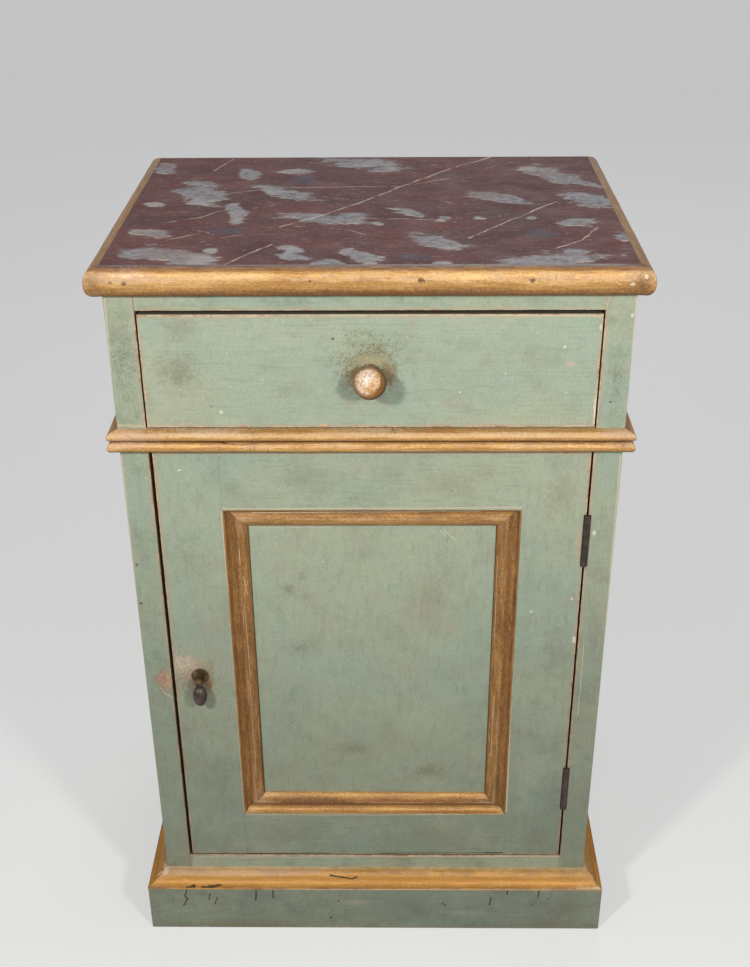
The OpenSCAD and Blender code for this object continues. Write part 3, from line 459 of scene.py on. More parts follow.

# %% [markdown]
# ## Gilding
# The mouldings carry old bronze-gold over a pinkish white ground. Brushed along the run, the
# gold is bright where it lies thick and gone on the crests. Where it faces down it is painted
# orange-brown, and in the grooves nearly black, both as painted shade. The mesh tells the
# shader how far along and across the moulding a point is, through its UV map. It also carries
# values that were worked out from the profile: `crest`, `hollow` for the painted shade in the
# grooves, `low` for the painted shade on what faces down, `pale` for where the ground shows
# and for a painted highlight on what faces up, and `end`, the distance to the nearer mitre.

# %% Group: gilding
r, given = start_group(
    "gilding",
    {"Run": (0, 0, 0), "Crest": 0.5, "Hollow": 0.0,
     "Low": 0.0, "Pale": 0.0, "End": 1.0,
     "Rub": 0.5, "Brown": 0.3, "Seed": 0.0},
    {"Colour": "colour", "Metal": "value", "Roughness": "value", "Height": "value"},
)
run = given["Run"] + r.scaled((1.31, 0.77, 2.1), given["Seed"])
strokes = r.noise(run * (38, 620, 1), 1.0, 4, 0.62)
streaks = r.noise(run * (21, 1300, 1), 1.0, 3, 0.6)
drift = r.noise(run * (14, 70, 1), 1.0, 4, 0.6)
mottle = r.noise(run * (110, 300, 1), 1.0, 5, 0.7)
gold = r.mix(r.band(drift, 0.36, 0.64), seen(202, 148, 76), seen(228, 180, 104))
gold = r.coats(gold,
    (r.band(strokes, 0.30, 0.62, 0.50, 0.0), (164, 112, 58)),
    (r.band(streaks, 0.52, 0.70, 0.0, 0.5), (248, 214, 150)),
    (r.band(streaks, 0.32, 0.44, 0.42, 0.0), (150, 100, 52)))
# Painted shade: what faces down (Low) is painted orange-brown, over the real browning (Brown).
under = given["Low"] * r.band(strokes, 0.35, 0.68, 0.95, 0.6)
browned = given["Brown"] * r.band(mottle, 0.32, 0.66, 0.5, 1.15)
brown = r.math("ADD", under, browned, True)
colour = r.mix(brown, gold, r.mix(r.band(drift, 0.4, 0.6), seen(122, 80, 40), seen(158, 102, 48)))
# Worn ground on crests and ends; where Pale lies on upward faces it is a painted highlight.
wear_and_highlight_at = given["Crest"] * given["Rub"] * 0.17 + given["Pale"] * 0.26
wear_and_highlight_at = wear_and_highlight_at + r.band(given["End"], 0.0, 0.035, 0.16, 0.0)
wear_noise = mottle * 0.55 + drift * 0.45
bared = r.band(wear_noise + wear_and_highlight_at, 0.62, 0.76)
colour = r.mix(bared * 0.6, colour, seen(224, 184, 142))
grain = r.noise(run * (360, 900, 1), 1.0, 5, 0.78)
colour = r.coats(colour,
    (r.band(grain, 0.34, 0.48, 0.50, 0.0), (118, 76, 40)),
    (r.band(grain, 0.53, 0.66, 0.0, 0.50), (250, 220, 168)))
flecks = r.band(r.noise(run * (330, 1200, 1), 1.0, 4, 0.7), 0.6, 0.67) * r.band(mottle, 0.44, 0.58)
colour = r.mix(flecks * 0.45, colour, seen(248, 226, 188))
scarce = r.band(r.noise(run * (30, 110, 1), 1.0, 3, 0.6), 0.54, 0.66)
bole = scarce * r.band(strokes, 0.35, 0.6)
colour = r.mix(bole * 0.45, colour, seen(160, 112, 88))
# Painted shade: the grooves, creases and undersides (Hollow) are painted nearly black.
painted_groove_shade = given["Hollow"] * r.band(mottle, 0.25, 0.6, 0.78, 1.0)
colour = r.mix(painted_groove_shade, colour, seen(64, 42, 26))
across = r.noise(run * (150, 14, 1), 1.0, 2, 0.5)
checks = r.band(r.math("ABSOLUTE", across - 0.5), 0.0, 0.009, 1.0,
                0.0) * r.band(r.noise(run * (14, 70, 1), 1.0, 2), 0.62, 0.68)
pits = r.band(r.noise(run * (520, 900, 1), 1.0, 2, 0.6), 0.66, 0.73)
mitre = r.band(given["End"], 0.0002, 0.0007, 0.7, 0.0)
dirt = r.math("MAXIMUM", r.math("MAXIMUM", checks, pits * 0.55), mitre)
colour = r.mix(dirt * 0.7, colour, seen(74, 48, 28))
dull = r.math("MAXIMUM", r.math("MAXIMUM", bared, painted_groove_shade), brown * 0.6, True)
metal = r.band(dull, 0.0, 1.0, 0.30, 0.04)
rough = r.band(dull, 0.0, 1.0, 0.38, 0.6) + r.band(strokes, 0.3, 0.7, 0.0, 0.08)
height = strokes * 0.12 - bared * 0.1
height = height - dirt * 0.14
gilding_group = end_group(r, {"Colour": colour, "Metal": metal, "Roughness": rough,
                              "Height": height})
print("gilding ready")

# %% [markdown]
# ## Carving the mouldings
# A joiner runs a moulding with a plane, so its shape is one profile carried along a straight
# line and cut at a mitre. As a surface it is a grid: one direction walks along the run, the
# other along the profile. Where the run is mitred, each profile point's run is longer or
# shorter by its own reach, so the last column of the grid lies on the mitre. Planes chatter
# and gesso is brushed by hand, so the surface then sinks by a fraction of a millimetre.

# %% Profiles, as reach from the wall and height
def arc(middle, radius, start, end, steps):
    """Points middle + radius (cos a, sin a) for angles a from start to end, in degrees."""
    a = np.radians(np.linspace(start, end, steps))
    return np.stack([middle[0] + radius * np.cos(a), middle[1] + radius * np.sin(a)], 1)


def straight(start, end, steps):
    """Evenly spaced points from start to end."""
    t = np.linspace(0, 1, steps)[:, None]
    return np.array(start) * (1 - t) + np.array(end) * t


nosing_low, nosing_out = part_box("nosing_front")[0].z, -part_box("nosing_front")[0].y + face_y
nosing_high = top_z - nosing_low


def half_round(out, high, power, steps):
    """A squarish half round: out cos(t)^(2/p), high/2 (1 + sin(t)^(2/p)), for t from -90 to 90."""
    t = np.radians(np.linspace(-90, 90, steps))
    side = np.sign(np.sin(t)) * np.abs(np.sin(t)) ** (2 / power)
    return np.stack([out * np.abs(np.cos(t)) ** (2 / power), high / 2 * (1 + side)], 1)


SQUARENESS = 2.5
nosing_profile = half_round(nosing_out, nosing_high, SQUARENESS, 49)
nosing_profile[[0, -1], 0] = 0.0

LOW_BEAD, TOP_BEAD, BEAD_GAP, MID_OUT = 5.1 * MM, 4.1 * MM, 1.1 * MM, 9.0 * MM
mid_high = rail_high - rail_low
low_bead = np.array([MID_OUT - LOW_BEAD, LOW_BEAD])
top_bead = np.array([MID_OUT - TOP_BEAD, 2 * LOW_BEAD + BEAD_GAP + TOP_BEAD])
fall = top_bead - (0, mid_high)
slope_a = np.degrees(np.arctan2(fall[1], fall[0]) + np.arcsin(TOP_BEAD / np.linalg.norm(fall)))
quirk_a = np.degrees(np.arccos((low_bead[0] - top_bead[0]) / TOP_BEAD))
slope_foot = top_bead + TOP_BEAD * np.array([np.cos(np.radians(90 + slope_a)),
                                             np.sin(np.radians(90 + slope_a))])
middle_profile = np.concatenate([
    straight((0, 0), (low_bead[0], 0), 4)[:-1],
    arc(low_bead, LOW_BEAD, -90, 88, 23),
    arc(top_bead, TOP_BEAD, -quirk_a, 90 + slope_a, 21),
    straight(slope_foot, (0, mid_high), 7)[1:],
])

BASE_LIP, FOOT_W, FOOT_H = 3.6 * MM, 1.2 * MM, 2.5 * MM
base_out = -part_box("base_moulding_front")[0].y + face_y
base_high = ogee_z - plinth_z
ogee_run, ogee_drop = base_out - FOOT_W - BASE_LIP, base_high - FOOT_H
ogee_r = (ogee_run**2 + ogee_drop**2) / (4 * ogee_drop)
ogee_turn = np.degrees(np.arcsin((ogee_r - ogee_drop / 2) / ogee_r))
base_profile = np.concatenate([
    straight((0, 0), (base_out, 0), 3)[:-1],
    straight((base_out, 0), (base_out, FOOT_H), 4)[:-1],
    straight((base_out, FOOT_H), (base_out - FOOT_W, FOOT_H), 3)[:-1],
    arc((base_out - FOOT_W, FOOT_H + ogee_r), ogee_r, 270, 180 + ogee_turn, 15)[:-1],
    arc((BASE_LIP, base_high - ogee_r), ogee_r, ogee_turn, 90, 15),
    straight((BASE_LIP, base_high), (0, base_high), 5)[1:],
])

FRAME_W, FRAME_LIP, RIDGE, FLOOR, HOLLOW_R, BEAD_R = (v * MM
                                                      for v in (21.5, 1.5, 13.4, 4.0, 4.8, 9.0))
lip_v = panel_y - face_y - 0.5 * MM
hollow_v = FLOOR + HOLLOW_R
hollow_u = FRAME_LIP + np.sqrt(HOLLOW_R**2 - (hollow_v - lip_v) ** 2)
bead_v = hollow_v - np.sqrt((HOLLOW_R + BEAD_R) ** 2 - (RIDGE - hollow_u) ** 2)
meet = np.degrees(np.arctan2(hollow_v - bead_v, hollow_u - RIDGE))
start_a = 180 + np.degrees(np.arcsin((hollow_v - lip_v) / HOLLOW_R))
last_a = np.degrees(np.arccos((FRAME_W - RIDGE) / BEAD_R))
panel_profile = np.concatenate([
    straight((0, 0), (0, lip_v), 4)[:-1],
    straight((0, lip_v), (FRAME_LIP, lip_v), 3)[:-1],
    arc((hollow_u, hollow_v), HOLLOW_R, start_a, 180 + meet, 17)[:-1],
    arc((RIDGE, bead_v), BEAD_R, meet, last_a, 23),
    straight((FRAME_W, bead_v + BEAD_R * np.sin(np.radians(last_a))), (FRAME_W, 0), 3)[1:],
])
print("profile points:", [len(p)
                          for p in (nosing_profile, middle_profile, base_profile, panel_profile)])


# %% [markdown]
# The helpers below turn arrays into meshes. A surface of rows and columns becomes quads by
# joining each point to its right and upper neighbours, and the signed volume, a sum of
# determinants over the triangles, says whether the faces look outwards.

# %% Meshes from arrays
def ripple(u, v, waves, seed):
    """Sum of sines sin(2 pi (u / a + v / b) + phase) / count, for wavelengths (a, b) in metres."""
    chance = np.random.default_rng(seed)
    total = np.zeros(np.broadcast(u, v).shape)
    for a, b in waves:
        slant = chance.uniform(-1, 1)
        total = total + np.sin(2 * np.pi * (u / a + slant * v / b) + chance.uniform(0, 2 * np.pi))
    return total / len(waves)


def make_mesh(name, points, faces, body, replaced, smooth=35, values=None, uv=None):
    """A closed mesh whose faces look outwards, with its point values and its UV map in metres."""
    mesh = bpy.data.meshes.new(name)
    mesh.from_pydata(points.tolist(), [], faces)
    mesh.calc_loop_triangles()
    corners = np.empty(len(mesh.loop_triangles) * 3, np.int32)
    mesh.loop_triangles.foreach_get("vertices", corners)
    a, b, c = (points[corners.reshape(-1, 3)[:, k]] for k in range(3))
    if np.einsum("ij,ij->i", a, np.cross(b, c)).sum() < 0:
        mesh.flip_normals()
    mesh.shade_smooth()
    mesh.set_sharp_from_angle(angle=np.radians(smooth))
    for key, value in (values or {}).items():
        mesh.attributes.new(key, "FLOAT", "POINT").data.foreach_set("value",
                                                                    value.astype(np.float32))
    if uv is not None:
        loops = np.empty(len(mesh.loops), np.int32)
        mesh.loops.foreach_get("vertex_index", loops)
        mesh.uv_layers.new(name="run").data.foreach_set("uv", uv[loops].astype(np.float32).ravel())
    piece = bpy.data.objects.new(name, mesh)
    bpy.context.scene.collection.objects.link(piece)
    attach(piece, body)
    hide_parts(replaced)
    return piece


def grid_faces(rows, columns):
    """Quads of a tube: rows along it, columns round it and closed, with a cap at each end."""
    i, j = np.meshgrid(np.arange(rows - 1), np.arange(columns), indexing="ij")
    k = (j + 1) % columns
    quads = np.stack([i * columns + j, i * columns + k, (i + 1) * columns + k,
                      (i + 1) * columns + j], -1)
    caps = [list(range(columns))[::-1], list(range((rows - 1) * columns, rows * columns))]
    return quads.reshape(-1, 4).tolist() + caps


ROW_STEP = 1.6 * MM


def run_moulding(node, profile, base, along, out, up, span, mitres, body, slot, values, sink,
                 dents, seed):
    """A moulding on a straight line. Each profile point (a, b) runs from span[0] - mitres[0] a to
    span[1] + mitres[1] a along the line, at base + out a + up b, less what it is sunk by. A dent
    is (place along, share of the way round the profile, half width, depth)."""
    along, out, up = (np.array(d, float) for d in (along, out, up))
    rows = int((span[1] - span[0]) / ROW_STEP) + 2
    a, b = profile[:, 0][None, :], profile[:, 1][None, :]
    t = np.linspace(0, 1, rows)[:, None]
    first, last = span[0] - mitres[0] * a, span[1] + mitres[1] * a
    s = first + (last - first) * t
    after = np.roll(profile, -1, axis=0)
    way = np.sign((profile[:, 0] * after[:, 1] - profile[:, 1] * after[:, 0]).sum())
    slope = np.gradient(profile, axis=0)
    normal = way * np.stack([slope[:, 1], -slope[:, 0]], 1)
    normal /= np.linalg.norm(normal, axis=1)[:, None] + 1e-12
    steps = np.linalg.norm(np.diff(profile, axis=0), axis=1)
    v = np.concatenate([[0], np.cumsum(steps)])[None, :]
    inside = (profile[:, 0] > 0.3 * MM) & (profile[:, 1] > 0.3 * MM)
    from_end = np.minimum(s - first, last - s) if mitres[1] else s - first
    depth = sink * (1 + 0.6 * ripple(s, v, [(0.11, 0.04), (0.047, 0.02)], seed)
                    + 0.5 * ripple(s, v, [(0.013, 0.006), (0.0071, 0.004), (0.0043, 0.003)],
                                   seed + 7))
    depth = depth * np.clip(np.minimum(s - first, last - s) / (5 * MM), 0, 1)
    for at, where, wide, deep in dents:
        depth = depth + deep * np.exp(-((s - at) ** 2 + (v - where * v.max()) ** 2) / wide**2)
    depth = depth * inside[None, :]
    a2, b2 = a - normal[:, 0][None, :] * depth, b - normal[:, 1][None, :] * depth
    points = np.array(base, float) + s[..., None] * along + a2[..., None] * out + b2[..., None] * up
    uv = np.stack([s, np.broadcast_to(v, s.shape)], -1)
    carried = {key: np.broadcast_to(value[None, :], s.shape).ravel() for key,
               value in values.items()}
    carried["end"] = from_end.ravel()
    return make_mesh(f"carved_{node}", points.reshape(-1, 3), grid_faces(rows, len(profile)), body,
                     node, values=carried, uv=uv.reshape(-1, 2))


def round_case(name, profile, z, values, sink, front_dents, side_dents, seed):
    """A moulding on the front and on both sides of the case, mitred at the two front corners."""
    same, up = ("carcass", "gilt", values, sink), (0, 0, 1)
    return [run_moulding(f"{name}_front", profile, (0, face_y, z), (1, 0, 0), (0, -1, 0), up,
                         (-case_x, case_x), (1, 1), *same, front_dents, seed)] + [
        run_moulding(f"{name}_{word}", profile, (side * case_x, 0, z), (0, 1, 0), (side, 0, 0), up,
                     (face_y, back_y), (1, 0), *same, side_dents, seed + 2 + side)
        for side, word in ((-1, "left"), (1, "right"))]


def near_to(profile, places, wide):
    """Per profile point, exp(-(distance / wide)^2) to the nearest of the places."""
    gap = np.linalg.norm(profile[:, None, :] - np.array(places, float)[None], axis=2).min(1)
    return np.exp(-((gap / wide) ** 2))


def ramp(value, start, end):
    """0 at start, 1 at end, straight between them."""
    return np.clip((value - start) / (end - start), 0, 1)


print("moulding plane ready")

# %% [markdown]
# ## Half-round nosing
# The nosing runs round the front and both sides of the top. The small dents are where its
# nails were punched in, at the places where the photograph shows them.

# %% Nosing
def on_nosing(px, py):
    """Distance along the front nosing of a pixel on its crest."""
    return float(on_front(px, py, nosing_out)[0])


nails = [(on_nosing(*nail), up, 1.4 * MM, 0.5 * MM) for nail, up in (
    ((110, 283), 0.52), ((124, 284), 0.50), ((310, 282), 0.56), ((420, 281), 0.60),
    ((532, 281), 0.58))]
height = nosing_profile[:, 1] / nosing_high
# Painted light: hollow and low paint shade on the underside of the nosing, and pale paints a
# highlight on its upper half.
values = {
    "crest": near_to(nosing_profile, [(nosing_out, nosing_high * 0.66)], 7 * MM),
    "hollow": np.maximum(0.8 * near_to(nosing_profile, [(0, 0)], 2.5 * MM),
                         0.6 * ramp(height, 0.16, 0.03)),
    "low": ramp(height, 0.46, 0.14),
    "pale": 0.30 * ramp(height, 0.50, 0.62),
}
nosing = round_case("nosing", nosing_profile, nosing_low, values, 0.2 * MM, nails,
                    [(-0.05, 0.55, 2 * MM, 0.5 * MM), (0.09, 0.6, 2 * MM, 0.5 * MM)], 3)
print("nosing:", sum(len(p.data.polygons) for p in nosing), "faces")

# %% [markdown]
# ## Double-bead moulding over the drawer rail
# A slope runs down to two beads. The line that shows dark in the photograph is the quirk between
# the beads, so the profile keeps a real groove there, and the `hollow` value paints it nearly
# black as painted shade.

# %% Middle moulding
height = middle_profile[:, 1]
on_top = height > 2 * LOW_BEAD + BEAD_GAP / 2
part_up = np.where(on_top, (height - top_bead[1]) / TOP_BEAD, (height - low_bead[1]) / LOW_BEAD)
on_slope = ramp(middle_profile[:, 0], slope_foot[0] - 0.2 * MM,
                slope_foot[0] - 2 * MM) * (height > top_bead[1])
# Painted light: hollow paints shade in the quirk, under each bead and in the top crease, with a
# little grime on the slope; low paints shade on what faces down; pale paints a highlight on the
# upper side of each bead.
values = {
    "crest": near_to(middle_profile, [low_bead + (LOW_BEAD * 0.8, LOW_BEAD * 0.6),
                                      top_bead + (TOP_BEAD * 0.8, TOP_BEAD * 0.6)], 3 * MM),
    "hollow": np.maximum.reduce([
        near_to(middle_profile, [(low_bead[0], 2 * LOW_BEAD + BEAD_GAP / 2)], 1.5 * MM),
        0.14 * on_slope,
        0.6 * near_to(middle_profile, [(0, mid_high)], 1.1 * MM),
        0.6 * ramp(part_up, -0.7, -0.95)]),
    "low": np.maximum(ramp(part_up, -0.2, -0.8), 0.22 * on_slope),
    "pale": np.where(on_top, 0.62, 0.2) * ramp(part_up, 0.0, 0.4) * (1 - 0.6 * on_slope),
}
chips = [(-0.2085, 0.60, 1.6 * MM, 0.6 * MM), (0.03, 0.4, 1.2 * MM, 0.4 * MM),
         (0.213, 0.5, 3 * MM, 0.6 * MM), (-0.08, 0.66, 1.5 * MM, 0.4 * MM)]
middle = round_case("middle_moulding", middle_profile, rail_low, values, 0.10 * MM, chips,
                    [(0.02, 0.62, 2 * MM, 0.5 * MM)], 11)
print("middle moulding:", sum(len(p.data.polygons) for p in middle), "faces")

# %% [markdown]
# ## Ogee moulding on the plinth
# A round that flows into a hollow, which is what feet and brooms knock first. Its top edge
# was painted over with the green, and below that the ground shows pinkish through the gold.

# %% Base moulding
# Painted shade: hollow darkens the corner over the foot; low darkens the lower part of the ogee.
values = {
    "crest": near_to(base_profile, [(BASE_LIP + 5 * MM, base_high - 2 * MM), (base_out, FOOT_H)],
                     3.5 * MM),
    "hollow": 0.5 * near_to(base_profile, [(base_out - FOOT_W, FOOT_H)], 1.0 * MM),
    "low": 0.5 * near_to(base_profile, [(base_out - 5 * MM, FOOT_H + 2 * MM)], 3 * MM),
    "pale": np.maximum(0.6 * near_to(base_profile, [(BASE_LIP + 3.5 * MM, base_high - 0.6 * MM)],
                                     4 * MM),
                       near_to(base_profile, [(base_out, FOOT_H * 0.6)], 1.6 * MM)),
    "lip": ramp(base_profile[:, 0], BASE_LIP + 1.5 * MM, BASE_LIP - 0.2 * MM)
    * (base_profile[:, 1] > base_high / 2),
}
knocks = [(-0.03, 0.62, 6 * MM, 0.5 * MM), (0.12, 0.5, 4 * MM, 0.3 * MM),
          (-0.2, 0.7, 4 * MM, 0.5 * MM)]
base = round_case("base_moulding", base_profile, plinth_z, values, 0.16 * MM, knocks,
                  [(0.05, 0.5, 5 * MM, 0.4 * MM)], 21)


def on_base(px, py):
    """Place of a pixel on the ogee, whose reach is read from the profile at the height found."""
    foot = int(np.argmax(base_profile[:, 1] > FOOT_H / 2)) + 1
    reach = base_out / 2
    for _ in range(8):
        spot = on_front(px, py, reach)
        reach = float(np.interp(spot[2] - plinth_z, base_profile[foot:-5, 1],
                                base_profile[foot:-5, 0]))
    return spot


print("base moulding:", sum(len(p.data.polygons) for p in base), "faces")

# %% [markdown]
# ## Mitred moulding round the panel
# The same plane makes the picture-frame moulding in the door, but its mitres close inwards, so
# the mitre factors are negative: a point farther in has a shorter run.

# %% Panel moulding
# Painted light: hollow paints shade where the moulding steps down to the panel and faintly in its
# hollow, low paints shade in the hollow, and pale paints a highlight on the bead's crest.
values = {
    "crest": near_to(panel_profile, [(RIDGE - 1 * MM, bead_v + BEAD_R), (FRAME_LIP / 2, lip_v)],
                     2.0 * MM),
    "hollow": np.maximum(0.95 * near_to(panel_profile, [(FRAME_W, 0.5 * MM)], 1.4 * MM),
                         0.12 * near_to(panel_profile, [(hollow_u + 0.5 * MM, FLOOR)], 3.0 * MM)),
    "low": 0.25 * near_to(panel_profile, [(hollow_u + 1.5 * MM, FLOOR + 1 * MM)], 4.5 * MM),
    "pale": 0.5 * near_to(panel_profile, [(RIDGE - 1.5 * MM, bead_v + BEAD_R)], 1.2 * MM),
}
# Painted shade on the bottom length: these values darken the side of its bead turned from the light.
shaded = {  # the bottom length turns one side of its bead away from the light
    "low": near_to(panel_profile, [(RIDGE - 1 * MM, bead_v + BEAD_R)], 6.5 * MM),
    "hollow": 0.35 * near_to(panel_profile, [(RIDGE - 5 * MM, bead_v + BEAD_R - 1.5 * MM)],
                             3.0 * MM),
}
middle_x, middle_z = (opening_left + opening_right) / 2, (opening_low + opening_high) / 2
half_w, half_h = (opening_right - opening_left) / 2, (opening_high - opening_low) / 2
sides = {
    "bottom": ((middle_x, opening_low), (1, 0, 0), (0, 0, 1), half_w),
    "top": ((middle_x, opening_high), (1, 0, 0), (0, 0, -1), half_w),
    "left": ((opening_left, middle_z), (0, 0, 1), (1, 0, 0), half_h),
    "right": ((opening_right, middle_z), (0, 0, 1), (-1, 0, 0), half_h),
}
panel_frame = {
    name: run_moulding(f"panel_moulding_{name}", panel_profile, (x, panel_y, z), along, inward,
                       (0, -1, 0), (-half, half), (-1, -1), "door", "dark_gilt",
                       {**values, **shaded} if name == "bottom" else values,
                       0.10 * MM, [(0.06, 0.6, 3 * MM, 0.3 * MM), (-0.1, 0.3, 3 * MM, 0.3 * MM)],
                       31 + k)
    for k, (name, ((x, z), along, inward, half)) in enumerate(sides.items())
}
print("panel moulding:", sum(len(p.data.polygons) for p in panel_frame.values()), "faces")

# %% [markdown]
# ## Turned knob
# A knob comes off the lathe, so it is a profile turned round an axis. The ball was shaped by
# eye, so its radius wanders a little with the angle, and hands have flattened its front.

# %% Knob
KNOB_R, KNOB_OUT, NECK_R, RING_R, RING_T, TENON_R = (v * MM for v in (14.3, 18, 6.5, 9.5, 1.6, 6))
front_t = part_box("drawer_front")[1].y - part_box("drawer_front")[0].y
neck_a = np.degrees(np.arcsin(NECK_R / KNOB_R))
ball = arc((0, 0), KNOB_R, 90, -90 + neck_a, 41)
knob_profile = np.concatenate([
    np.stack([ball[:, 0], KNOB_OUT + ball[:, 1]], 1),
    straight((NECK_R, RING_T + 0.8 * MM), (RING_R - 0.4 * MM, RING_T), 4),
    straight((RING_R, RING_T - 0.4 * MM), (RING_R, 0), 3),
    straight((TENON_R, 0), (TENON_R, -front_t), 3),
    straight((TENON_R * 0.5, -front_t), (0, -front_t), 2),
])
turns = 96
angle = np.linspace(0, 2 * np.pi, turns, endpoint=False)[None, :]
radius, ahead = knob_profile[:, 0][:, None], knob_profile[:, 1][:, None]
on_ball = np.clip((ahead - RING_T - 2 * MM) / (4 * MM), 0, 1)
wander = 1 - on_ball * (0.012 + 0.012 * np.sin(angle * 2 + 0.8) * np.clip(ahead / KNOB_OUT, 0, 1)
                        + 0.006 * np.sin(angle * 5 + ahead * 600))
radius = radius * wander
flat = np.clip(ahead - (KNOB_OUT + KNOB_R * 0.86), 0, None)
ahead = ahead - flat * 0.45
points = np.stack([radius * np.sin(angle), face_y - ahead + 0 * angle,
                   knob_z + radius * np.cos(angle)], -1)
length = np.concatenate([[0], np.cumsum(np.linalg.norm(np.diff(knob_profile, axis=0), axis=1))])
uv = np.stack([angle * KNOB_R + 0 * length[:, None], length[:, None] + 0 * angle], -1)
knob = make_mesh("turned_knob", points.reshape(-1, 3), grid_faces(len(knob_profile), turns),
                 "drawer",
                 "drawer_knob", 50, uv=uv.reshape(-1, 2))
print("knob:", len(knob.data.polygons), "faces")

# %% [markdown]
# ## Marks read from the photograph
# A painter copies the marks that catch the eye: where the paint is chipped, where grime
# gathers, where a crack runs. Each mark below has a name and its place as pixels of the
# photograph, and the camera's numbers turn that into a place on the board. A mark is either a
# ragged patch in a box (left, top, right, bottom) or a line with its half width in millimetres
# and the pixels it passes.

# %% Marks on a finish
def patch(r, place, at, reach, ragged, softness=0.4):
    plugs = {"Place": place, "Middle": tuple(at), "Reach": reach, "Ragged": ragged,
             "Softness": softness}
    return r.use(patch_group, plugs)["Mask"]


def line(r, place, start, end, half_width, softness=0.5):
    plugs = {"Place": place, "From": tuple(start), "To": tuple(end), "Half width": half_width,
             "Softness": softness}
    return r.use(line_group, plugs)["Mask"]


def strongest(r, masks):
    """The largest of several masks, taken one by one as they are made."""
    result = None
    for mask in masks:
        result = mask if result is None else r.math("MAXIMUM", result, mask)
    return result


def marked(r, place, colour, marks, out=0.0, where=None):
    """Lays marks, {name: (tint, strength, pixels...)}, over a colour. They are flat: they lie on
    the plane `out` in front of the face, or where a function `out` puts a pixel. A smudge is
    soft, and a speckle is soft and broken up."""
    shake = r.noise(place, 350, 3, 0.6, out=1) - (0.5, 0.5, 0.5)
    flat = (place + r.scaled(shake, 0.0016)) * (1, 0, 1)
    ragged = (r.noise(place, 240, 5, 0.75) - 0.5) * 2.6
    grain = r.band(r.noise(place, 800, 4, 0.75), 0.46, 0.60)
    at = out if callable(out) else lambda px, py: on_front(px, py, out)
    for name, (tint, strength, *pixels) in marks.items():
        if len(pixels) == 1:
            left, top, right_px, bottom = pixels[0]
            a, b = at(left, bottom), at(right_px, top)
            reach = (abs(b[0] - a[0]) / 2 * 1.15, 1.0, abs(b[2] - a[2]) / 2 * 1.15)
            soft = 1.0 if name.startswith(("smudge", "speckle")) else 0.4
            mask = patch(r, flat, ((a[0] + b[0]) / 2, 0, (a[2] + b[2]) / 2), reach, ragged, soft)
            if name.startswith("speckle"):
                mask = mask * grain
        else:
            half, path = pixels
            spots = [at(px, py) * (1, 0, 1) for px, py in path]
            ends = zip(spots, spots[1:])
            mask = strongest(r, (line(r, flat, a, b, half * MM, 0.6) for a, b in ends))
        if where is not None:
            mask = mask * where
        colour = r.mix(mask * strength, colour, seen(*tint))
    return colour


# %% [markdown]
# The front nosing was painted over at its top edge by whoever marbled the top, and under that
# paint runs a dark red-brown line. A broken coat of pale paint, grey-green to cream, lies on
# the lip of the base moulding. Apart from that the gilded pieces differ in how brown and how
# rubbed they are, in their cracks, and in their painted shade and highlights. The lengths on
# the sides are browner than the front and darkened all over with painted shade.

# %% Gilded pieces
CRACK, CHIP, BARE, DARK = (78, 50, 30), (238, 216, 188), (218, 186, 160), (52, 40, 30)
NOSING_MARKS = {
    "nail hole ring": (CRACK, 0.8, (121.5, 281.5, 126.5, 286.5)),
    "nail hole left": (CRACK, 0.7, (108.5, 281.5, 111.5, 284.5)),
    "nail hole middle": (CRACK, 0.7, (308.5, 280.5, 311.5, 283)),
    "nail hole right": (CRACK, 0.85, (417, 278.5, 424, 283.5)),
    "nail hole far right": (CRACK, 0.85, (529, 278.5, 536, 283)),
    "smudge left end": ((128, 92, 62), 0.6, (78, 268, 106, 298)),
    "smudge pinkish left": ((206, 172, 148), 0.6, (96, 270, 160, 286)),
    "smudge right end": ((120, 82, 46), 0.7, (628, 268, 662, 298)),
    "speckle right end": (CRACK, 0.5, (612, 272, 660, 298)),
    # Painted shade along the underside of the nosing.
    "smudge of painted shade low": ((120, 76, 38), 0.8, (84, 287, 658, 301)),
    "chip right a": (CHIP, 0.8, (630, 283, 636, 286)),
    "chip right b": (CHIP, 0.8, (644, 275, 649, 279)),
    # Painted highlights along the upper front of the nosing.
    "smudge of painted highlight mid": ((246, 210, 140), 0.5, (430, 273, 520, 282)),
    "smudge of painted highlight left": ((246, 212, 150), 0.4, (190, 274, 290, 282)),
}
MIDDLE_MARKS = {
    "dark on upper bead": (CRACK, 0.85, 0.4, ((127, 435.5), (131, 437), (135, 439))),
    "pinkish left end": (BARE, 0.35, (112, 430, 160, 446)),
    "pinkish right end": (BARE, 0.35, (600, 430, 634, 438)),
    "speckle right": (CRACK, 0.3, (600, 430, 636, 452)),
    "smudge right": (CRACK, 0.4, (618, 438, 634, 448)),
    "split left": (CRACK, 0.8, 0.3, ((214, 443), (240, 445), (256, 444))),
    # Bare ground and painted highlight along the top of the upper bead.
    "smudge of bare ground and painted highlight left": (CHIP, 0.4, (150, 430, 260, 437)),
    "smudge of bare ground and painted highlight mid": (CHIP, 0.35, (330, 430, 420, 436)),
    "speckle of bare ground and painted highlight right": (CHIP, 0.4, (440, 431, 600, 438)),
    "nick": (CRACK, 0.8, 0.35, ((390, 431), (396, 434))),
}
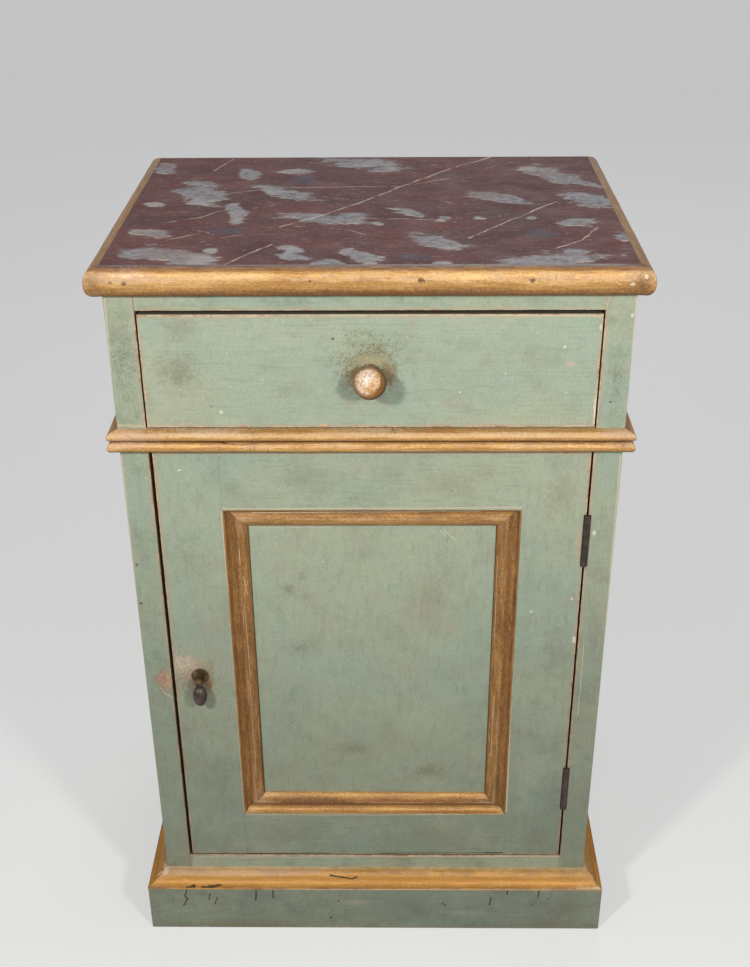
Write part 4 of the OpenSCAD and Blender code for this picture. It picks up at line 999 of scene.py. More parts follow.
BASE_MARKS = {
    "crack by the mitre": (DARK, 0.95, 0.6, ((165, 868), (158, 877), (150, 885))),
    "chip by the mitre": (CHIP, 0.5, (163, 868, 169, 872)),
    "crack a": (DARK, 0.9, 0.5, ((186, 888), (195, 887.5))),
    "crack b": (DARK, 0.9, 0.5, ((201, 888), (221, 887.5))),
    "crack c": (DARK, 1.0, 1.0, ((330, 875), (342, 877.5), (352, 879), (357, 877))),
    "pinkish left": (BARE, 0.3, (150, 868, 330, 876)),
    "speckle of cream on top": (CHIP, 0.9, 0.8, ((168, 868.6), (590, 867.6))),
    "speckle of cream at the foot": (CHIP, 0.8, 0.5, ((151, 890), (602, 889.4))),
}
FRAME_MARKS = {
    "left": {"scratch a": (CHIP, 0.8, 0.4, ((238.5, 552), (239.5, 566))),
             "scratch b": (CHIP, 0.8, 0.35, ((243, 579), (247, 597))),
             "scratch c": (CHIP, 0.7, 0.35, ((247, 583), (244, 598))),
             "long a": (CHIP, 0.55, 0.3, ((244, 606), (250, 680))),
             "long b": (CHIP, 0.5, 0.3, ((250, 690), (256, 780))),
             # Painted shadow where the moulding steps down to the panel.
             "painted shadow at the inner edge": (CRACK, 0.6, 0.8, ((248.5, 528), (263, 790)))},
    "right": {"scratch a": (CHIP, 0.6, 0.3, ((498, 560), (495, 640))),
              "scratch b": (CHIP, 0.6, 0.3, ((494, 700), (491, 760))),
              # Painted shadow where the moulding steps down to the panel.
              "painted shadow at the inner edge": (CRACK, 0.6, 0.8, ((495, 528), (486, 790)))},
    "top": {"speckle pale": (CHIP, 0.7, 0.7, ((252, 516), (480, 514.5))),
            # Painted shadow along the outer edge of the top length.
            "painted shadow at the outer edge": (CRACK, 0.6, 0.6, ((224, 511.5), (519, 511)))},
}


def gild(piece, rub, brown, seed, kind, marks, out, shade):
    """Gilding for a moulding, from its UV map and the values its profile carries. `shade` is
    painted shade: how far the whole length is darkened, with its metal and sheen dulled to match."""
    r = start_finish(f"gilt_{piece.name}")
    run = r.add("ShaderNodeUVMap", {}, uv_map="run")
    carried = {key: r.add("ShaderNodeAttribute", {}, 2, attribute_name=key.lower())
               for key in ("Crest", "Hollow", "Low", "Pale", "End")}
    made = r.use(gilding_group, {"Run": run, **carried, "Rub": rub, "Brown": brown, "Seed": seed})
    colour, metal, place = made["Colour"], made["Metal"], object_place(r)
    # Painted shade: the whole length darkened towards brown, in patches.
    if shade:
        share = r.band(r.noise(run * (30, 260, 1), 1.0, 4, 0.65), 0.3, 0.7, shade + 0.15,
                       shade - 0.25)
        colour = r.mix(share, colour, seen(104, 66, 30))
    paint = None
    if kind == "painted edge":
        down = (top_z - r.parts(place)[2]) * 1000.0  # millimetres under the top
        wobble = r.noise(place * (60, 60, 20), 1.0, 4, 0.65)
        down = down + (wobble - 0.5) * 2.2
        grain = r.noise(place * (60, 400, 900), 1.0, 4, 0.65)
        edge = r.band(down, 1.8, 3.8, 1.0, 0.0)
        colour = r.mix(edge * r.band(grain, 0.3, 0.6, 0.95, 0.55), colour, seen(108, 66, 34))
        paint = r.band(down, 0.5, 1.2, 1.0, 0.0)
        tint = r.mix(r.band(grain, 0.35, 0.65), seen(78, 56, 50), seen(112, 86, 74))
        colour = r.mix(paint * 0.92, colour, tint)
        paint = r.math("MAXIMUM", paint, edge * 0.7)
    if kind == "painted lip":
        lip = r.add("ShaderNodeAttribute", {}, 2, attribute_name="lip")
        thin = r.noise(place, 120, 4, 0.7)
        paint = lip * r.band(thin, 0.34, 0.46)
        tint = r.mix(r.band(thin, 0.46, 0.62), seen(164, 168, 144), seen(204, 194, 166))
        colour = r.mix(paint * 0.9, colour, tint)
        rosy = carried["Pale"] * r.band(r.noise(place, 40, 4, 0.65), 0.4, 0.58)
        colour = r.mix(rosy * 0.85, r.mix(0.4, colour, seen(216, 150, 40)), seen(146, 114, 84))
    if marks:
        colour = marked(r, place, colour, marks, out)
    if paint is not None:
        metal = metal * (1.0 - paint)
    metal = metal * (1 - shade)
    piece.data.materials.append(end_finish(r, colour, made["Roughness"], made["Height"], metal,
                                           specular=0.5 - 0.5 * shade))


# The lengths at the sides get painted shade (`shade`), and are browner too.
for pieces, seed, rub, browns, shade, kinds, marks, out in (
        (nosing, 1.0, 0.7, (0.12, 0.42), 0.62, ("painted edge", ""), NOSING_MARKS, nosing_out),
        (middle, 11.0, 0.8, (0.08, 0.38), 0.60, ("", ""), MIDDLE_MARKS, MID_OUT * 0.8),
        (base, 21.0, 0.7, (0.22, 0.42), 0.60, ("painted lip", "painted lip"), BASE_MARKS, on_base)):
    for k, piece in enumerate(pieces):
        side = int(k > 0)
        gild(piece, rub, browns[side], seed + k, kinds[side], None if side else marks, out,
             shade * side)
# Brown and painted shade of each length of the panel moulding: the top and the sides are darkened as
# painted shade.
FRAME_TONES = {"bottom": (0.30, 0.0), "top": (0.45, 0.24), "left": (0.60, 0.46),
               "right": (0.60, 0.43)}
for k, (name, piece) in enumerate(panel_frame.items()):
    brown, shade = FRAME_TONES[name]
    gild(piece, 0.35, brown, 31.0 + k, "", FRAME_MARKS.get(name), 0.0, shade)
print("gilded pieces:", len(nosing) + len(middle) + len(base) + len(panel_frame))

# %% [markdown]
# The knob is the piece most handled. Its gilding is left on the right and below, and the
# pinkish white ground shows on the upper left, so its colour follows the direction from its
# middle, `x * 0.75 - z * 0.35` plus some noise. Where it turns away from the camera it is
# painted brown, and nearly black at its outline, as painted shade.

# %% Knob finish
r = start_finish("gilt_knob")
place = object_place(r)
knob_middle = (0.0, face_y - KNOB_OUT, knob_z)
aim = r.vector("NORMALIZE", place - knob_middle)
ax, az = (r.parts(aim)[k] for k in (0, 2))
cloud = r.noise(place, 170, 5, 0.75)
fine = r.noise(place, 900, 3, 0.6)
tone = ax * 0.75 + az * -0.35
tone = tone + (cloud - 0.5) * 1.8
colour = r.mix(r.band(cloud, 0.40, 0.60), seen(250, 228, 212), seen(222, 186, 150))
colour = r.coats(colour,
    (r.band(tone, -0.16, 0.10), (218, 172, 112)),
    (r.band(tone, 0.16, 0.42), (150, 98, 40)))
patchy = r.noise(place, 420, 4, 0.7)
colour = r.coats(colour,
    (r.band(patchy, 0.53, 0.61, 0.0, 0.7), (160, 114, 70)),
    (r.band(patchy, 0.38, 0.47, 0.55, 0.0), (255, 240, 214)))
# Painted shade: brown, then nearly black at the outline, where the ball turns away from the camera.
toward_camera = r.dot(aim, (-0.12, -0.86, 0.49))
toward_camera = toward_camera + (cloud - 0.5) * 0.5
colour = r.coats(colour,
    (r.band(toward_camera, 0.54, 0.74, 0.85, 0.0), (142, 92, 40)),
    (r.band(toward_camera, 0.24, 0.46, 0.9, 0.0), (80, 52, 30)))
scratch = r.noise(place * (1400, 500, 260), 1.0, 3, 0.6)
colour = r.coats(colour,
    (r.band(scratch, 0.60, 0.70, 0.0, 0.5), (240, 222, 196)),
    (r.band(fine, 0.62, 0.70, 0.0, 0.65), (104, 72, 44)))
bared = r.band(tone, -0.1, 0.5, 1.0, 0.0)
knob.data.materials.append(end_finish(r, colour, r.band(cloud, 0.3, 0.7, 0.36, 0.5),
                                      scratch * 0.12 + cloud * 0.5,
                                      r.band(bared, 0.0, 1.0, 0.3, 0.05)))

# %% [markdown]
# ## Painted boards
# Each board gets the sage paint with its own grain direction, the box whose arrises are
# rubbed, and a note of which sides were painted at all: the inside of the case was left bare.
# Behind a front arris, in the gaps round the drawer and the door, the paint is darkened nearly
# black: painted shade in the gaps, together with a century of dust and wax.

# %% Board helpers
ALONG_X, ALONG_Y, ALONG_Z = (26, 300, 430), (300, 26, 430), (430, 430, 26)
SOFT_Z = (190, 190, 44)


def dress(node, material, bevel=0.0):
    """Gives a CAD node its finish, and softens its arrises with a small bevel."""
    piece = frame["nodes"][node]
    piece.data.materials.clear()
    piece.data.materials.append(material)
    if bevel:
        piece.modifiers.new("weld", "WELD").merge_threshold = 0.00001
        soften = piece.modifiers.new("bevel", "BEVEL")
        soften.width, soften.segments, soften.limit_method = bevel, 2, "ANGLE"
        soften.angle_limit = np.radians(50)
        soften.harden_normals = True
    return piece


def grown(node, low=(0, 0, 0), high=(0, 0, 0)):
    """A node's box with millimetres added at its low and its high sides, which hides arrises
    that butt against another board from the wear."""
    a, b = (np.array(corner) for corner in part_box(node))
    return a - np.array(low) * MM, b + np.array(high) * MM


def before(depth):
    """Painted where y is less than depth behind the face, with a ragged brush edge."""
    def mask(r, place):
        y = r.parts(place)[1] + r.noise(place, 60, 3) * 0.0016
        return r.band(y, face_y + depth + 0.4 * MM, face_y + depth + 1.0 * MM, 1.0, 0.0)
    return mask


def outside(side, inner):
    """Painted on the outer face of a side board, and round its front edge."""
    def mask(r, place):
        x = r.parts(place)[0] * side
        outer = r.band(x, inner + 0.001, inner + 0.002)
        return r.math("MAXIMUM", outer, before(LIP)(r, place))
    return mask


def paint(node, stretch, rub, grime, seed, painted_where=None, marks=None, arris=None, gap=None,
          low_shade_and_dirt=None, out=0.0, bevel=0.0):
    """Sage paint on a board. painted_where(r, place) gives the mask of what was painted. `arris`
    is the box whose edges are rubbed. `gap` is where the painted shade and dirt behind the arris
    lie: () is everywhere, and (axis, inner edge, sign) is only inside of that edge.
    `low_shade_and_dirt` darkens the paint towards the bottom, as painted shade and grime, and is
    (height of the most, height of none, strength), and `out` is how far the board's face stands
    before the case."""
    r = start_finish(f"sage_{node}")
    place = object_place(r)
    low, high = (np.array(corner) for corner in (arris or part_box(node)))
    plugs = {"Place": place, "Middle": tuple((low + high) / 2),
             "Half size": tuple((high - low) / 2)}
    distance = r.use(arris_group, plugs)["Distance"]
    made = r.use(sage_group, {"Place": place, "Stretch": stretch, "Arris": distance, "Rub": rub,
                              "Grime": grime, "Seed": seed})
    colour, rough, height = made["Colour"], made["Roughness"], made["Height"]
    x, y, z = r.parts(place)[0:3]
    # Darker towards the bottom: painted shade for the lamps' falloff, together with grime.
    if low_shade_and_dirt:
        start, end, most = low_shade_and_dirt
        share = r.band(z, start, end, most, 0.0) * r.band(r.noise(place, 18, 5, 0.68), 0.3, 0.6,
                                                          0.6, 1.0)
        colour = r.mix(share, colour, seen(92, 97, 83))
    if marks:
        front_only = r.band(y, face_y - out + 1.5 * MM, face_y - out + 2.5 * MM, 1.0, 0.0)
        colour = marked(r, place, colour, marks, out, front_only)
    # Painted shade in the gaps behind the front arris, with dust and wax: nearly black.
    if gap is not None:
        deep = r.band(y, face_y + 0.5 * MM, face_y + 1.7 * MM) * r.band(y, face_y + 7 * MM,
                                                                        face_y + 17 * MM, 0.85, 0.3)
        if gap:
            axis, edge, sign = gap
            value = (x, y, z)[axis] * float(sign)
            deep = deep * r.band(value, edge + 1 * MM, edge + 2 * MM, 1.0, 0.0)
        colour = r.mix(deep, colour, seen(50, 39, 28))
    if painted_where:
        wood = r.use(pine_group, {"Place": place, "Stretch": stretch, "Seed": seed})
        mask = painted_where(r, place)
        colour = r.mix(mask, wood["Colour"], colour)
        rough = r.blend(mask, wood["Roughness"], rough)
        height = r.blend(mask, wood["Height"], height)
    dress(node, end_finish(r, colour, rough, height, specular=0.35), bevel)


# %% [markdown]
# The marks of each board. Tints are screen colours, and the number after each is how strongly
# it covers the paint.

# %% Marks of the drawer, the door and the case
SPECK, PEACH, GILT, DUST = (232, 224, 204), (218, 178, 140), (150, 112, 66), (140, 134, 108)
CREAM_LINE, RUST = (216, 198, 170), (156, 112, 72)
DRAWER_MARKS = {
    "smudge round the knob": ((150, 142, 98), 0.6, (332, 334, 406, 396)),
    "speckle round the knob": ((100, 88, 58), 0.95, (328, 326, 412, 404)),
    "speckle near the knob": ((104, 84, 50), 0.95, (344, 346, 400, 394)),
    "speckle of gold over the knob": ((226, 200, 146), 1.0, (350, 353, 392, 368)),
    "smudge right of the knob": ((142, 112, 64), 0.7, (378, 360, 400, 390)),
    "smudge left of the knob": (GILT, 0.6, (342, 362, 362, 388)),
    "smudge left": (DUST, 0.42, (158, 312, 200, 345)),
    "smudge left low": (DUST, 0.55, (154, 352, 204, 392)),
    "smudge right": (DUST, 0.25, (445, 334, 490, 356)),
    "smudge mid": (DUST, 0.22, (270, 380, 320, 400)),
    "speckle left low": (DARK, 0.22, (154, 350, 206, 394)),
    "white a": (SPECK, 0.9, (225.7, 352.7, 227.3, 354.3)),
    "white b": (SPECK, 0.9, (219.5, 410.5, 222.5, 413.5)),
    "white c": (SPECK, 0.9, (261.7, 379.5, 263, 381)),
    "white d": (SPECK, 0.8, (179.5, 389.7, 181, 391)),
    "white e": (SPECK, 0.9, (230, 386, 231.3, 387.3)),
    "white f": (SPECK, 0.9, (504.5, 372.5, 506.5, 374.5)),
    "white g": (SPECK, 0.9, (563, 345.5, 566, 348)),
    "white h": (SPECK, 0.9, (459.5, 391, 461, 393)),
    "white i": (SPECK, 0.8, (565, 391.5, 567, 393.5)),
    "rosy chip": ((206, 180, 160), 0.9, (566, 361, 575, 367)),
    "dark a": (DARK, 0.8, (331, 338, 335, 340)), "dark b": (DARK, 0.8, (210.5, 405.5, 212, 407)),
    "peach chip": (PEACH, 0.7, (246, 315, 252, 318)),
    "orange chip": (PEACH, 0.8, (319, 423.5, 327, 427)),
    "pale right edge": ((206, 204, 178), 0.45, (592, 384, 602, 426)),
    "cream flakes right": (SPECK, 0.95, (592.5, 398, 596.5, 424)),
    "cream flake right up": (SPECK, 0.6, (599, 324, 603, 330)),
    "cream flakes low right": (SPECK, 0.4, (560, 425, 588, 428)),
    "cream flakes low left": (SPECK, 0.3, (150, 425, 176, 428)),
    "cream at right end": (CREAM_LINE, 0.8, 1.1, ((603.5, 318), (602.5, 340), (601.5, 370))),
    # Painted shadow along the drawer's bottom edge.
    "painted shadow under the drawer": (DARK, 0.6, 0.5, ((150, 428), (300, 428.3), (450, 428), (600, 427))),
    "cream top edge": (CREAM_LINE, 0.6, 0.9, ((138, 314.5), (300, 314.5), (450, 315), (604, 316))),
}
STILE_LEFT_MARKS = {
    "smudge by the handle": ((188, 168, 140), 0.9, (168, 648, 212, 694)),
    "bare by the handle": ((206, 182, 152), 0.6, (174, 656, 200, 676)),
    "smudge of rust by the rose": (RUST, 0.95, (190, 660, 216, 700)),
    "speckle by the handle": ((110, 72, 42), 0.9, (170, 648, 214, 700)),
    "speckle of white": (SPECK, 1.0, (168, 648, 206, 690)),
    "speckle of black": (DARK, 0.8, (172, 658, 204, 698)),
    "scratch a": (SPECK, 0.7, 0.3, ((176, 658), (184, 672))),
    "scratch b": (SPECK, 0.7, 0.3, ((186, 655), (190, 668))),
    "scratch c": (SPECK, 0.7, 0.3, ((180, 668), (190, 664))),
    "white a": (SPECK, 0.9, (177, 469, 182, 471)),
    "white b": (SPECK, 0.9, (192.5, 605.5, 194, 607)),
    "notch": (DARK, 0.9, (167, 650, 171, 656)), "smudge up": (DUST, 0.25, (175, 540, 215, 580)),
    "smudge at the edge": ((186, 168, 142), 0.35, (154, 520, 172, 650)),
    "smudge low": (DUST, 0.3, (170, 735, 215, 790)),
    "speckle light at the moulding": (CREAM_LINE, 1.0, 1.0,
                                      ((221.5, 512), (229, 600), (236.5, 700), (244.5, 812))),
}
STILE_RIGHT_MARKS = {
    "chip a": (PEACH, 0.8, (570, 598, 574, 601)), "chip b": (SPECK, 0.8, (529.5, 610.5, 533, 613)),
    "chip c": (SPECK, 0.8, (571, 598, 573, 600)), "chip d": (SPECK, 0.8, (572, 636, 576, 643)),
    "peach edge": (PEACH, 0.6, (586, 456, 589, 470)), "smudge": (DUST, 0.3, (535, 620, 575, 690)),
    "smudge up": (DUST, 0.3, (540, 470, 585, 520)),
    "smudge of peach by the hinge": (PEACH, 0.4, (572, 520, 584, 570)),
    "speckle light at the moulding": (CREAM_LINE, 1.0, 1.0,
                                      ((520, 511), (515.7, 600), (511, 700), (506.3, 812))),
}
RAIL_TOP_MARKS = {
    "smudge a": (DUST, 0.22, (270, 464, 350, 494)), "smudge b": (DUST, 0.25, (400, 466, 480, 500)),
    "smudge c": (DUST, 0.25, (215, 478, 250, 500)), "white": (SPECK, 0.8, (178, 468, 183, 471)),
    "cream at the moulding": (CREAM_LINE, 0.8, 1.0,
                              ((222, 509), (330, 508.5), (430, 508), (521, 507.5))),
}
RAIL_BOTTOM_MARKS = {
    "dark corner": (DARK, 0.9, (191, 845, 196, 855)),
    # Painted shadow along the gap under the door.
    "painted shadow line in the gap": (DARK, 0.9, 1.3, ((486, 852.9), (520, 852.5))),
    "painted shadow along the foot": (DARK, 0.75, 0.8, ((194, 853.2), (260, 853.3), (330, 853.1))),
    "painted shadow along the foot right": (DARK, 0.75, 0.8, ((380, 853.1), (470, 852.9), (556, 852.5))),
    "smudge a": (DUST, 0.3, (240, 818, 330, 846)), "smudge b": (DUST, 0.35, (390, 822, 480, 850)),
    "light at the moulding": (CREAM_LINE, 0.7, 0.8, ((246, 814.5), (380, 815), (506, 814))),
}
PANEL_MARKS = {
    "speck a": (SPECK, 0.9, (322, 561.3, 324, 563)),
    "smudge a": ((112, 116, 98), 0.5, (280, 582, 296, 596)),
    "smudge b": ((112, 116, 98), 0.4, (296, 570, 306, 582)),
    "smudge c": ((120, 116, 92), 0.4, (290, 640, 312, 656)),
    "scratch a": (SPECK, 0.85, 0.35, ((443, 529), (449, 535), (455, 540))),
    "scratch b": (SPECK, 0.7, 0.3, ((440, 530), (447, 537))),
    "line at the moulding": (CREAM_LINE, 0.6, 0.6, ((250, 528), (290, 527.5), (330, 527))),
    "smudge low": ((120, 110, 84), 0.45, (330, 740, 372, 756)),
    "smudge low right": ((120, 110, 84), 0.45, (410, 762, 450, 780)),
    "smudge low left": (DUST, 0.3, (262, 760, 300, 786)),
    "smudge up": (DUST, 0.2, (400, 560, 460, 620)),
}
SIDE_LEFT_MARKS = {
    "pinkish chip": ((214, 188, 160), 0.85, (159, 672, 172, 690)),
    "speckle in the chip": ((128, 84, 52), 0.9, (154, 666, 174, 698)),
    "white rim": (SPECK, 0.95, 0.5, ((160, 688), (166, 694), (172, 697))),
    "smudge of rust": (RUST, 0.5, (154, 664, 174, 698)),
    "spot a": (DARK, 0.8, (140, 602, 142, 605)), "spot b": (DARK, 0.7, (135, 563, 138, 566)),
    "cream over the moulding": (CREAM_LINE, 0.7, 0.8, ((115, 425), (130, 425.5), (143, 426))),
    "smudge": (DUST, 0.35, (136, 730, 168, 790)), "smudge up": (DUST, 0.3, (112, 330, 142, 380)),
    "speckle up": (DARK, 0.4, (106, 300, 140, 425)),
    "speckle at the edge": (CREAM_LINE, 0.7, 1.0, ((121.5, 456), (165, 866))),
    "speckle at the edge up": (CREAM_LINE, 0.7, 1.0, ((104.5, 298), (115.5, 425))),
}
SIDE_RIGHT_MARKS = {
    "cream chip": (SPECK, 0.7, (631, 313, 634, 317)),
    "white by the gap": (SPECK, 0.9, (592, 530, 596, 536)),
    "smudge": (DUST, 0.35, (582, 600, 608, 670)),
    "cream by the gap": (CREAM_LINE, 0.8, 0.5, ((584, 640), (581, 680), (578, 715))),
    "speckle up": (DARK, 0.4, (604, 340, 630, 425)), "dark dot": (DARK, 0.8, (609, 401, 612, 403)),
    "speckle at the edge up": (CREAM_LINE, 0.7, 1.0, ((636.5, 298), (627, 425))),
    "speckle at the edge": (CREAM_LINE, 0.7, 1.0, ((620.5, 456), (585.5, 866))),
}
BOTTOM_MARKS = {
    "cream line": (CREAM_LINE, 0.8, 0.7, ((196, 857), (300, 857.2), (430, 856.6), (560, 856))),
    "joint": (DARK, 0.8, 0.35, ((192, 854), (192, 866))),
}
PLINTH_MARKS = {
    "crack a": (DARK, 0.95, 1.05, ((187, 889), (185, 896), (188, 899))),
    "crack b": (DARK, 0.95, 1.05, ((184, 905), (188, 898))),
    "crack c": (DARK, 0.9, 0.9, ((217, 897), (215, 904))),
    "crack d": (DARK, 0.95, 1.1, ((256, 884), (256, 900))),
    "crack e": (DARK, 0.9, 1.05, ((273, 890), (273, 898))),
    "crack f": (DARK, 0.9, 0.9, ((442, 903), (446, 906))),
    "crack g": (DARK, 0.95, 1.05, ((490.6, 898), (489.6, 905))),
    "crack h": (DARK, 0.9, 1.05, ((508, 889), (507, 894))),
    "crack i": (DARK, 0.9, 1.05, ((539.5, 889), (538, 897))),
    "crack j": (DARK, 0.9, 0.9, ((210, 894), (209, 900))),
    "dot a": (DARK, 0.9, (329.7, 916.5, 332, 918.5)),
    "dot b": (DARK, 0.8, (337.7, 899.7, 340, 902)),
    "dot c": (DARK, 0.8, (531, 904, 533, 906)), "dot d": (DARK, 0.8, (547, 898, 549, 900)),
    "smudge of chalk a": ((178, 174, 150), 0.55, (330, 899, 382, 905)),
    "smudge of chalk b": ((178, 174, 150), 0.4, (430, 910, 500, 915)),
    "smudge of dust": ((128, 114, 90), 0.5, (160, 918, 330, 932)),
    "smudge of dust right": ((128, 114, 90), 0.4, (470, 918, 600, 932)),
}

# %% Painted boards
HOUSING, LIP = 8 * MM, 4 * MM
inner_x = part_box("bottom_board")[1].x - HOUSING
door_back = before(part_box("door_stile_left")[1].y - face_y - 1.6 * MM)
plinth_out = face_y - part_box("plinth_front")[0].y
for side, sign, grime, seed, marks, wide in (
        ("left", -1, 0.55, 1.3, SIDE_LEFT_MARKS, ((2.7, 0, 20), (0, 0, 20))),
        ("right", 1, 0.60, 2.7, SIDE_RIGHT_MARKS, ((0, 0, 20), (2.7, 0, 20)))):
    paint(f"side_{side}", ALONG_Z, 0.8, grime, seed, outside(sign, inner_x), marks,
          grown(f"side_{side}", *wide), (0, inner_x, sign), (0.06, 0.60, 0.44), bevel=0.8 * MM)
paint("top_rail_front", ALONG_X, 0.8, 0.65, 3.9, before(LIP), None,
      grown("top_rail_front", (20, 0, 0), (20, 0, 20)), (), bevel=0.5 * MM)
paint("divider_rail", ALONG_X, 0.8, 0.6, 4.1, before(LIP), gap=())
paint("bottom_board", ALONG_X, 0.8, 0.7, 5.3, before(LIP), BOTTOM_MARKS,
      grown("bottom_board", (20, 0, 20), (20, 0, 0)), (), bevel=0.5 * MM)
for k, (node, stretch, marks) in enumerate((
        ("plinth_front", ALONG_X, PLINTH_MARKS), ("plinth_left", ALONG_Y, None),
        ("plinth_right", ALONG_Y, None))):
    paint(node, stretch, 0.5, 0.75, 6.1 + k, None, marks, grown(node, (0, 0, 0), (0, 0, 20)), None,
          (0.0, 0.30, 0.46), plinth_out, 0.9 * MM)
paint("drawer_front", ALONG_X, 1.0, 0.22, 9.2, before(front_t - 1.6 * MM), DRAWER_MARKS, None, (),
      bevel=0.8 * MM)
for node, stretch, rub, marks, low, high, bevel in (
        ("stile_left", SOFT_Z, 1.0, STILE_LEFT_MARKS, (0, 0, 0), (20, 0, 0), 0.5 * MM),
        ("stile_right", SOFT_Z, 1.0, STILE_RIGHT_MARKS, (20, 0, 0), (0, 0, 0), 0.5 * MM),
        ("rail_top", ALONG_X, 0.8, RAIL_TOP_MARKS, (20, 0, 20), (20, 0, 0), 0.0),
        ("rail_bottom", ALONG_X, 0.8, RAIL_BOTTOM_MARKS, (20, 0, 0), (20, 0, 20), 0.0)):
    paint(f"door_{node}", stretch, rub, 0.35, 10.4, door_back, marks,
          grown(f"door_{node}", low, high),
          (), (0.05, 0.54, 0.46), bevel=bevel)
paint("door_panel", SOFT_Z, 0.0, 0.32, 14.9, before(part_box("door_panel")[1].y - face_y - 1.2 * MM),
      PANEL_MARKS, None, None, (0.10, 0.46, 0.34), face_y - panel_y)
print("painted boards:", sum(m.name.startswith("sage_") for m in bpy.data.materials))

# %% [markdown]
# ## Marbled top
# The top imitates a red marble: a dark red-brown ground dragged sideways with a dry brush, long
# grey clouds with ragged edges and cream dabs on their near side, and thin cream veins that
# rise to the right. The clouds are one field: the distance to the nearest cloud's outline,
# `min |(place - middle) / reach|`, bent by noise. A cloud that leans is the ellipse that fills
# its box at a slant: with half sizes w and d and a lean k, the axes of the matrix
# [[w w, -k w d], [-k w d, d d]]. The same field moved towards the viewer gives the near rims.

# %% Clouds
CLOUDS = {  # left, top, right, bottom pixels, and a lean from far left to near right if any
    "far left": (151, 161, 181, 173), "left long": (172, 181, 233, 207, 0.35),
    "left tail": (221, 203, 250, 224, 0.6),
    "back left": (237, 169, 262, 181, 0.3), "back middle": (319, 158, 402, 170, 0.4),
    "left faint": (145, 202, 167, 206, 0.4),
    "left pinkish": (124, 229, 172, 237, 0.4), "near left wedge": (114, 247, 192, 262, 0.3),
    "near left foot": (160, 256, 225, 269),
    "near left small": (206, 248, 222, 254), "streaky": (252, 186, 325, 202, 0.7),
    "middle": (275, 214, 375, 224, 0.6),
    "middle thick": (338, 213, 370, 222), "near middle": (277, 247, 309, 261, 0.5),
    "near centre": (338, 248, 380, 265, 0.65),
    "near centre low": (310, 259, 346, 269), "back faint": (281, 169, 310, 174),
    "back right wedge": (528, 164, 570, 183, 0.6),
    "back right": (573, 179, 599, 188, 0.6), "right a": (568, 192, 609, 207, 0.4),
    "right b": (561, 217, 597, 226),
    "right small": (527, 216, 536, 219), "right bright": (467, 191, 528, 205, 0.75),
    "centre white": (395, 208, 423, 217, 0.7),
    "centre b": (435, 216, 452, 222), "centre c": (473, 216, 486, 219),
    "centre wedge": (406, 234, 475, 250, 0.75),
    "centre d": (372, 222, 385, 226, 0.5), "near right a": (431, 262, 458, 270),
    "near right b": (385, 263, 427, 270),
    "near right long": (494, 252, 607, 268, -0.5), "near right lobe": (565, 249, 590, 259),
    "edge right": (614, 232, 628, 240),
}
r, given = start_group("cloud_field", {"Place": (0, 0, 0)}, {"Field": "value"})
place = given["Place"]
swirl = r.noise(place * (1, 1.5, 1), 34, 3, 0.55, out=1) - (0.5, 0.5, 0.5)
bent = place + swirl * (0.024, 0.016, 0.0)
field = None
for left, top, right_px, bottom, *leans in CLOUDS.values():
    near, far = on_level(left, bottom, top_z), on_level(right_px, top, top_z)
    wide, deep = abs(far[0] - near[0]) / 2 * 1.06, abs(far[1] - near[1]) / 2 * 1.10
    middle_at = ((near[0] + far[0]) / 2, (near[1] + far[1]) / 2, top_z)
    skew, spread = -sum(leans) * wide * deep, (wide**2 - deep**2) / 2
    half_sum, half_gap = (wide**2 + deep**2) / 2, np.hypot(spread, skew)
    reach = ((half_sum + half_gap) ** 0.5, (half_sum - half_gap) ** 0.5, 1.0)
    slant = 0.5 * np.arctan2(skew, spread)
    turned = r.add("ShaderNodeVectorRotate", {"Vector": bent, "Center": middle_at, "Angle": -slant},
                   rotation_type="Z_AXIS")
    away = r.length((turned - middle_at) / reach)
    field = away if field is None else r.math("MINIMUM", field, away)
torn = r.noise(place * (95, 165, 70), 1.0, 8, 0.84)
lobes = r.noise(place * (30, 52, 30), 1.0, 3, 0.6)
field = field + (torn - 0.5) * 1.5
field = field + (lobes - 0.48) * 1.8
cloud_group = end_group(r, {"Field": field})

# %% Marbled top
VEINS = {  # half width in mm, then the pixels that each vein passes
    "main low": (0.7, (218, 268), (241, 257), (273, 244)),
    "main": (0.9, (279, 227), (317, 217), (367, 200), (408, 184), (452, 168), (492, 157)),
    "back": (0.6, (231, 193), (281, 188), (337, 187), (404, 186), (450, 178)),
    "right": (0.8, (469, 238), (492, 228), (542, 207), (568, 198)),
    "far right": (0.7, (555, 249), (584, 239), (598, 227)),
    "middle": (0.6, (360, 218), (450, 220)),
    "left": (0.6, (162, 223), (199, 218), (220, 211)),
    "left low": (0.6, (147, 245), (200, 233)),
    "left back": (0.6, (214, 171), (233, 159)),
    "right faint": (0.4, (421, 199), (482, 196)),
    "right cream": (0.5, (433, 197), (456, 205), (467, 204)),
    "back right": (0.5, (475, 171), (502, 164), (519, 162)),
    "orange": (0.4, (294, 226), (348, 230), (365, 235)),
    "reddish": (0.5, (482, 263), (511, 252)),
    "short": (0.4, (252, 209), (275, 205)),
    "streak": (0.4, (296, 197), (325, 197), (352, 200)),
    "arc": (0.5, (429, 164), (452, 168)),
    "thin white": (0.4, (214, 238), (250, 234)),
    "cream orange": (0.4, (191, 229), (214, 234)),
}
BLUE_PATCHES = {"left": (202, 227, 256, 236), "back": (279, 175, 325, 186),
                "right": (520, 228, 560, 240),
                "near": (390, 252, 440, 262)}
r = start_finish("marbled_top")
place = object_place(r)
x, y, z = r.parts(place)[0:3]
drag = r.noise(place * (34, 210, 60), 1.0, 5, 0.68)
drag_fine = r.noise(place * (90, 700, 60), 1.0, 4, 0.65)
broad = r.noise(place * (14, 30, 10), 1.0, 3, 0.6)
